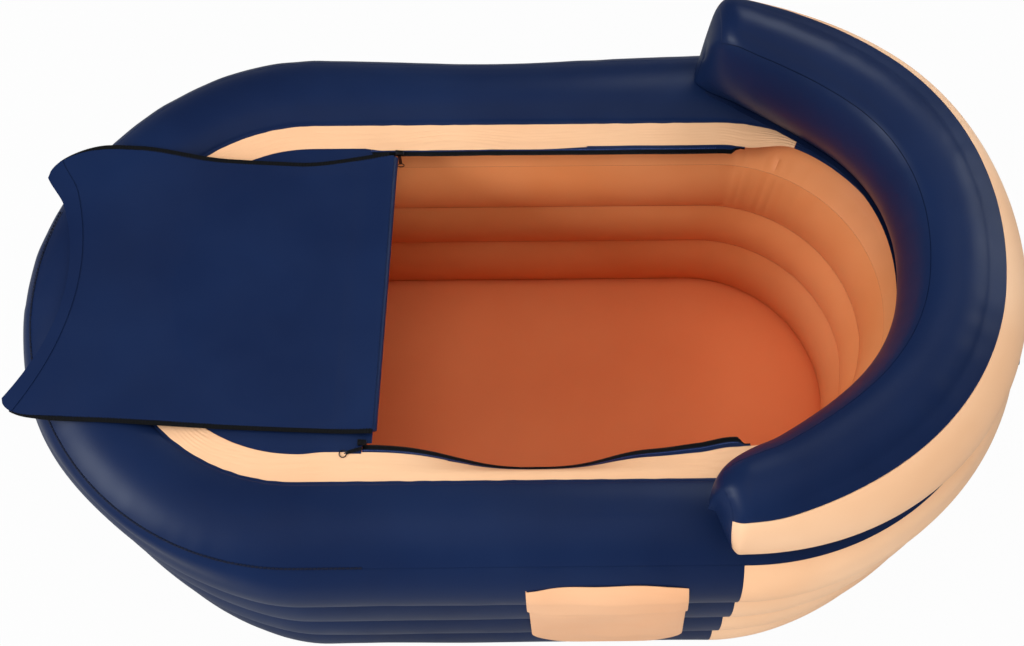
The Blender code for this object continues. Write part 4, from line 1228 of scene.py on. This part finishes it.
def flapPlace(flat, lift):
    across, away = flat[:, 0], flat[:, 1]
    points = np.stack([foldPoint.x + foldAlong.x * across + foldAway.x * away,
                       foldAlong.y * across + foldAway.y * away, np.zeros(len(away))], 1)
    inset = planPlace(points)[0]
    crest = plan["seamHeight"] + plan["flangeRise"] / 2 + plan["crown"]
    crest = crest + 2 * plan["softGap"] + plan["sheet"]
    rise = smoothStep((cover["riseInset"] - inset) / cover["riseRun"])
    wave = np.sin(away * 15 + across * 4) * np.sin(across * 11 + 1) * smoothStep(away / 0.08)
    roll = cover["rollLift"] * bell(away, cover["radius"], cover["rollRun"])
    height = flapBottom + (crest - flapBottom) * rise + lift
    points[:, 2] = height + cover["waveDepth"] * 0.5 * (1 + wave) * rise + roll
    return points


def flapGrid(name, columns, rows, toFlat, lift):
    piece = startGrid(name, columns, rows)

    def place(points):
        shares = (points[:, :2] + 1) / 2
        return flapPlace(toFlat(shares[:, 0], shares[:, 1]), lift)

    reshape(piece, place)
    applyModifier(piece, "SOLIDIFY", thickness=plan["sheet"], offset=1.0)
    return piece


def makeFlap():
    def wholePatch(column, row):
        return flapPatch(column, 1 - (1 - row) ** cover["rowPower"])

    flap = flapGrid("coverFlap", cover["columns"], cover["rows"], wholePatch, 0.0)
    finishPiece(flap, "flap", "navyVinyl", ["cover_flap"])

    def hemPatch(column, row):
        across = cover["tips"]["far"] * column - cover["tips"]["near"] * (1 - column)
        start = 1 - cover["hem"] / (flapEnd(across) - cover["radius"])
        return flapPatch(column, start + (1 - start) * row)

    hem = flapGrid("flapHem", cover["columns"], 8, hemPatch, cover["hemLift"])
    finishPiece(hem, "flap", "navyVinyl", ["flap_hem"])
    for side, facing in facings.items():

        def tapePatch(column, row, side=side, facing=facing):
            tapeFrom = cover["tapeFrom"][side]
            edge = flapSide(side, tapeFrom + row * (cover["tapeEnd"] - tapeFrom))
            out = column if facing > 0 else 1 - column
            ending = smoothStep((row - (1 - cover["tapeRun"])) / cover["tapeRun"])
            width = cover["tape"] * (1 - cover["tapeNarrow"] * ending)
            edge[:, 0] += facing * (-cover["tapeUnder"] + (width + cover["tapeUnder"]) * out)
            return edge

        tape = flapGrid("flapTape" + side.title(), 6, 120, tapePatch, 0.0)
        finishPiece(tape, "flap", "wovenTape", ["flap_tape_" + side])


def makePanel():
    panel = startGrid("coverPanel", *cover["panelSteps"])
    half = plan["halfWidth"] - stripOuter
    narrow = plan["halfWidth"] - tapeInner - cover["clearance"]
    wideX = openingBand["zipStartX"] - cover["clearance"]

    def place(points):
        share, side = (points[:, 0] + 1) / 2, points[:, 1]
        foot = np.sin(side * math.pi / 2) * half
        footX = -straightHalf - np.sqrt(np.maximum(half ** 2 - foot ** 2, 0))
        edgeY = side * narrow
        edgeX = cover["foldX"] - cover["setback"] + edgeY * math.tan(skewAngle)
        turnAt = cover["turnAt"]
        first = np.clip(share / turnAt, 0, 1)
        last = np.clip((share - turnAt) / 0.3, 0, 1)
        x = np.where(share < turnAt, footX + (wideX - footX) * first,
            wideX + (edgeX - wideX) * last)
        wide = foot + (side * half - foot) * smoothStep(first)
        y = np.where(share < turnAt, wide,
            side * (half + (narrow - half) * np.minimum(last * 8, 1)))
        z = bandTop + 0.0008 * np.sin(x * 40) * np.sin(y * 23)
        return np.stack([x, y, z], 1)

    reshape(panel, place)
    applyModifier(panel, "SOLIDIFY", thickness=plan["sheet"], offset=-1.0)
    finishPiece(panel, "tub", "navyVinyl", ["cover_panel"])
    deselectAll()
    length = cover["nearHalf"] + cover["farFold"]
    middle = foldPoint + foldAlong * (cover["farFold"] - cover["nearHalf"]) / 2
    middle = middle + foldAway * (cover["rollRadius"] - cover["radius"])
    middle.z += cover["rollRadius"] - cover["radius"]
    bpy.ops.mesh.primitive_cylinder_add(vertices=48, radius=cover["rollRadius"], depth=length,
        location=middle, rotation=(math.radians(-90), 0, -skewAngle))
    fold = startPiece("coverFold")
    editAll()
    bpy.ops.mesh.bisect(plane_co=tuple(middle), plane_no=tuple(foldAlong))
    bpy.ops.object.mode_set(mode="OBJECT")
    applyModifier(fold, "BEVEL", width=0.0012, segments=3)
    finishPiece(fold, "tub", "navyVinyl", ["cover_fold"])


makePanel()
makeFlap()
print("cover done")


# Side pocket: an open bag whose front stands off the wall
pocket = {
    "left": 0.023, "right": 0.283, "mouthLeft": 0.010, "mouthRight": 0.250,
    "low": 0.140, "high": 0.5185, "backHigh": 0.506, "mouthDepth": 0.0016, "depth": 0.010,
    "footDepth": 0.006,
    "corner": 0.040, "cornerShare": 0.22, "columns": 110, "rows": 100,
    "cuffLow": 0.425, "cuffOut": 0.0035, "cuffDepth": 0.0014, "rise": 0.0098, "tilt": 0.0025,
    "crownFrom": 0.6, "deepBy": 0.25, "mouthFrom": 0.7, "mouthRun": 0.28, "cuffRun": 0.004,
    "sideFrom": 0.90, "footShare": 0.02, "foldDepth": 0.0016,
}


def rimSwell(height):
    start = Vector((plan["creaseOut"], plan["outerCreases"][2]))
    end = Vector((0.0, plan["seamHeight"]))
    limit = -plan["creaseOut"] + plan["ringBulge"]
    chord = (end - start).length
    bulge = plan["rimBulge"]
    radius = bulgeRadius(chord, bulge)
    outwards = Vector((start.y - end.y, end.x - start.x)) / chord
    centre = (start + end) / 2 + outwards * (bulge - radius)
    rise = np.minimum(height, plan["seamHeight"]) - centre.y
    swell = np.sqrt(np.maximum(radius * radius - rise * rise, 0)) - centre.x
    return np.where(height <= (start.y + end.y) / 2, limit, np.minimum(swell, limit))


def pocketPlace(shareX, shareZ, front):
    top = np.where(front > 0, pocket["high"], pocket["backHigh"])
    height = pocket["low"] + (top - pocket["low"]) * shareZ
    crown = pocket["rise"] * (1 - shareX ** 4) + pocket["tilt"] * shareX
    height = height + crown * smoothStep((shareZ - pocket["crownFrom"]) / 0.4) * front
    up = (height - pocket["low"]) / (pocket["high"] - pocket["low"])
    left = pocket["left"] + (pocket["mouthLeft"] - pocket["left"]) * up
    right = pocket["right"] + (pocket["mouthRight"] - pocket["right"]) * up
    corner = pocket["corner"] * np.maximum(0, 1 - shareZ / pocket["cornerShare"]) ** 2
    x = (left + right) / 2 + shareX * ((right - left) / 2 - corner)
    back = -(plan["halfWidth"] + rimSwell(height)) - plan["softGap"]
    deeper = np.minimum(1, shareZ / pocket["deepBy"])
    lowDepth = pocket["footDepth"] + (pocket["depth"] - pocket["footDepth"]) * deeper
    mouth = smoothStep((shareZ - pocket["mouthFrom"]) / pocket["mouthRun"])
    depth = lowDepth + (pocket["mouthDepth"] - lowDepth) * mouth
    depth = depth * (1 - 0.5 * np.abs(shareX) ** 6)
    cuff = smoothStep((height - pocket["cuffLow"]) / pocket["cuffRun"])
    x = x + np.sign(shareX) * pocket["cuffOut"] * cuff * np.abs(shareX) ** 8
    depth = depth + pocket["cuffDepth"] * cuff * (1 - np.abs(shareX) ** 12)
    return np.stack([x, back - depth * front, height], 1)


def makePocket():
    bag = startGrid("sidePocket", pocket["columns"], pocket["rows"])

    def place(points):
        u, shareZ = points[:, 0], (points[:, 1] + 1) / 2
        front = 1 - np.clip((np.abs(u) - pocket["sideFrom"]) / 0.10, 0, 1)
        shareX = np.sign(u) * np.minimum(np.abs(u) / pocket["sideFrom"], 1)
        foot = np.clip(shareZ / pocket["footShare"], 0, 1)
        placed = pocketPlace(shareX, shareZ, front * foot)
        fold = np.sin(shareX * 5 + 1.3) * np.sin(shareZ * 9 + shareX * 1.5) * pocket["foldDepth"]
        fold = fold * front * smoothStep(shareZ / 0.2)
        placed[:, 1] -= fold * smoothStep((1 - np.abs(shareX)) / 0.3)
        return placed

    reshape(bag, place)
    applyModifier(bag, "SOLIDIFY", thickness=plan["sheet"], offset=-1.0)
    finishPiece(bag, "tub", "pocketVinyl", ["side_pocket"])


makePocket()
print("pocket done")


# Zip hardware
zipParts = {
    "sliderSize": (0.014, 0.010, 0.006), "pull": (0.026, 0.0055, 0.0014),
    "ringRadius": 0.0055, "ringWire": 0.0008, "nearAngle": 197.0, "nearShift": 0.006,
    "taper": (1, 0.7, 0.9), "sideInset": (0.0014, -0.0012), "topInset": (0.0018, -0.0006),
    "pullInset": (0.0012, -0.0003), "sliderBevel": 0.0007, "pullBevel": 0.0004,
}


def sliderPlace(side):
    lane = plan["halfWidth"] - (tapeOuter + tapeInner) / 2
    height = bandTop + plan["gap"] + zipParts["sliderSize"][2] / 2
    if side == "near":
        return Vector((openingBand["zipStartX"], zipParts["nearShift"] - lane, height))
    return Vector((cover["foldX"] + lane * math.tan(skewAngle) + cover["setback"], lane, height))


def makeSlider(side):
    size = zipParts["sliderSize"]
    deselectAll()
    bpy.ops.mesh.primitive_cube_add(size=1, location=sliderPlace(side), scale=size)
    slider = startPiece("slider" + side.title())
    bpy.ops.object.transform_apply(location=False, rotation=False, scale=True)
    bpy.ops.object.mode_set(mode="EDIT")
    pickFaces(slider, lambda normal: normal.x)
    bpy.ops.transform.resize(value=zipParts["taper"])
    pickFaces(slider, lambda normal: abs(normal.y))
    thick, depth = zipParts["sideInset"]
    bpy.ops.mesh.inset(thickness=thick, depth=depth, use_individual=True)
    pickFaces(slider, lambda normal: normal.z)
    thick, depth = zipParts["topInset"]
    bpy.ops.mesh.inset(thickness=thick, depth=depth)
    bpy.ops.object.mode_set(mode="OBJECT")
    applyModifier(slider, "BEVEL", width=zipParts["sliderBevel"], segments=3, limit_method="ANGLE")
    finishPiece(slider, "slider_" + side, "lacqueredZinc", ["slider_" + side])


def makePull(side):
    length, width, thick = zipParts["pull"]
    deselectAll()
    bpy.ops.mesh.primitive_cube_add(size=1, location=(length / 2, 0, 0),
        scale=(length, width, thick))
    pull = startPiece("pull" + side.title())
    bpy.ops.object.transform_apply(location=True, rotation=True, scale=True)
    bpy.ops.object.mode_set(mode="EDIT")
    pickFaces(pull, lambda normal: abs(normal.z))
    bpy.ops.mesh.inset(thickness=zipParts["pullInset"][0], depth=zipParts["pullInset"][1],
        use_individual=True)
    bpy.ops.object.mode_set(mode="OBJECT")
    applyModifier(pull, "BEVEL", width=zipParts["pullBevel"], segments=3, limit_method="ANGLE")
    deselectAll()
    place = (length + zipParts["ringRadius"] - zipParts["ringWire"], 0, 0)
    bpy.ops.mesh.primitive_torus_add(major_radius=zipParts["ringRadius"],
        minor_radius=zipParts["ringWire"], major_segments=40, minor_segments=10, location=place)
    ring = bpy.context.object
    pull.select_set(True)
    ring.select_set(True)
    bpy.context.view_layer.objects.active = pull
    bpy.ops.object.join()
    spot = sliderPlace(side)
    if side == "near":
        spot.z = bandTop + plan["softGap"] + thick / 2
        spot.y -= (zipParts["sliderSize"][1] + width) / 2 + plan["softGap"]
        turn = Matrix.Rotation(math.radians(zipParts["nearAngle"]), 4, "Z")
    else:
        spot.y -= zipParts["sliderSize"][1] / 2 + plan["softGap"] + thick / 2
        turn = Matrix.Rotation(math.radians(90), 4, "Y") @ Matrix.Rotation(math.radians(90), 4, "X")
    pull.data.transform(Matrix.Translation(spot) @ turn)
    finishPiece(pull, "pull_" + side, "lacqueredZinc", ["pull_" + side])


for zipSide in ("near", "far"):
    makeSlider(zipSide)
    makePull(zipSide)
print("zip hardware done")


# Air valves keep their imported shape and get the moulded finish
for nodeName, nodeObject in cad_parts.items():
    if nodeName.startswith("valve_"):
        nodeObject.data.materials.clear()
        nodeObject.data.materials.append(materials["mouldedValve"])


# Studio: a plain pale floor and six soft lights, each with its name, place, size and power,
# and whether it is seen in the gloss
studio = {"floorSize": 90.0, "floorTint": "#A8A8A8", "skyLight": 0.27, "skyGloss": 0.07,
    "whiteShare": 0.97, "softTint": "#EEF6FF", "aim": (0, 0, 0.4)}
lights = (
    ("leftLight", (-2.9, -1.0, 2.3), 1.5, 60.0, True),
    ("topLight", (0.2, -0.2, 4.2), 2.6, 54.0, False),
    ("backLight", (1.3, 2.7, 2.7), 1.4, 28.0, True),
    ("rightLight", (3.1, 1.3, 2.3), 1.9, 34.0, True),
    ("frontFill", (0.3, -3.4, 1.2), 2.0, 60.0, False),
    ("leftFill", (-3.2, 0.3, 2.8), 2.2, 34.0, False),
)


def makeStudio():
    deselectAll()
    bpy.ops.mesh.primitive_plane_add(size=studio["floorSize"], location=(0, 0, -0.0004))
    floor = startPiece("studioFloor")
    bpy.ops.object.mode_set(mode="EDIT")
    bpy.ops.mesh.subdivide(number_cuts=4)
    bpy.ops.object.mode_set(mode="OBJECT")
    tree = newMaterial("paperFloor")
    path = addNode(tree, "ShaderNodeLightPath")
    paper = addNode(tree, "ShaderNodeBsdfPrincipled",
        {"Base Color": hexColour(studio["floorTint"]), "Roughness": 0.9})
    white = addNode(tree, "ShaderNodeEmission", {"Color": (1, 1, 1, 1), "Strength": 1.0})
    seen = addNode(tree, "ShaderNodeMath",
        {0: (path, "Is Camera Ray"), 1: (path, "Is Transmission Ray")}, operation="MAXIMUM")
    share = addNode(tree, "ShaderNodeMath", {0: (seen, "Value"), 1: studio["whiteShare"]},
        operation="MULTIPLY")
    mixed = addNode(tree, "ShaderNodeMixShader",
        {0: (share, "Value"), 1: (paper, "BSDF"), 2: (white, "Emission")})
    addNode(tree, "ShaderNodeOutputMaterial", {"Surface": (mixed, "Shader")})
    floor.data.materials.append(materials["paperFloor"])
    world = bpy.context.scene.world or bpy.data.worlds.new("studioWorld")
    bpy.context.scene.world = world
    world.use_nodes = True
    world.node_tree.nodes.clear()
    path = addNode(world.node_tree, "ShaderNodeLightPath")
    dim = addNode(world.node_tree, "ShaderNodeMapRange",
        {"Value": (path, "Is Glossy Ray"), "To Min": studio["skyLight"],
            "To Max": studio["skyGloss"]})
    seen = addNode(world.node_tree, "ShaderNodeMath",
        {0: (path, "Is Camera Ray"), 1: (dim, "Result")}, operation="MAXIMUM")
    sky = addNode(world.node_tree, "ShaderNodeBackground",
        {"Color": (1, 1, 1, 1), "Strength": (seen, "Value")})
    addNode(world.node_tree, "ShaderNodeOutputWorld", {"Surface": (sky, "Background")})
    for name, place, size, power, shines in lights:
        bpy.ops.object.light_add(type="AREA", location=place)
        lamp = bpy.context.object
        lamp.name = name
        lamp.data.shape = "DISK"
        lamp.data.size = size
        lamp.data.energy = power
        lamp.visible_glossy = shines
        if shines:
            lamp.data.color = hexColour(studio["softTint"])[:3]
        lamp.rotation_euler = (Vector(studio["aim"]) - Vector(place)).to_track_quat("-Z",
            "Y").to_euler()


# Camera, at the photograph's place
cameraView = {"place": (-0.0186, -0.8751, 2.5916), "yaw": 0.0107, "pitch": 1.1864, "roll": 0.0007,
    "focal": 1.3724,
    "sensor": 36, "pixels": 1024}


def makeCamera():
    yaw, pitch, roll = cameraView["yaw"], cameraView["pitch"], cameraView["roll"]
    level = math.cos(pitch)
    ahead = Vector((math.sin(yaw) * level, math.cos(yaw) * level, -math.sin(pitch)))
    right = Vector((math.cos(yaw), -math.sin(yaw), 0))
    up = right.cross(ahead)
    rolled = right * math.cos(roll) + up * math.sin(roll)
    up = up * math.cos(roll) - right * math.sin(roll)
    turn = Matrix((rolled, up, -ahead)).transposed()
    bpy.ops.object.camera_add(location=cameraView["place"], rotation=turn.to_euler())
    camera = bpy.context.object
    camera.name = "photoCamera"
    camera.data.sensor_width = cameraView["sensor"]
    camera.data.lens = cameraView["focal"] * cameraView["sensor"] * 1000 / cameraView["pixels"]
    camera.data.dof.use_dof = False
    bpy.context.scene.camera = camera


makeStudio()
makeCamera()
bpy.context.scene.view_settings.view_transform = "Standard"
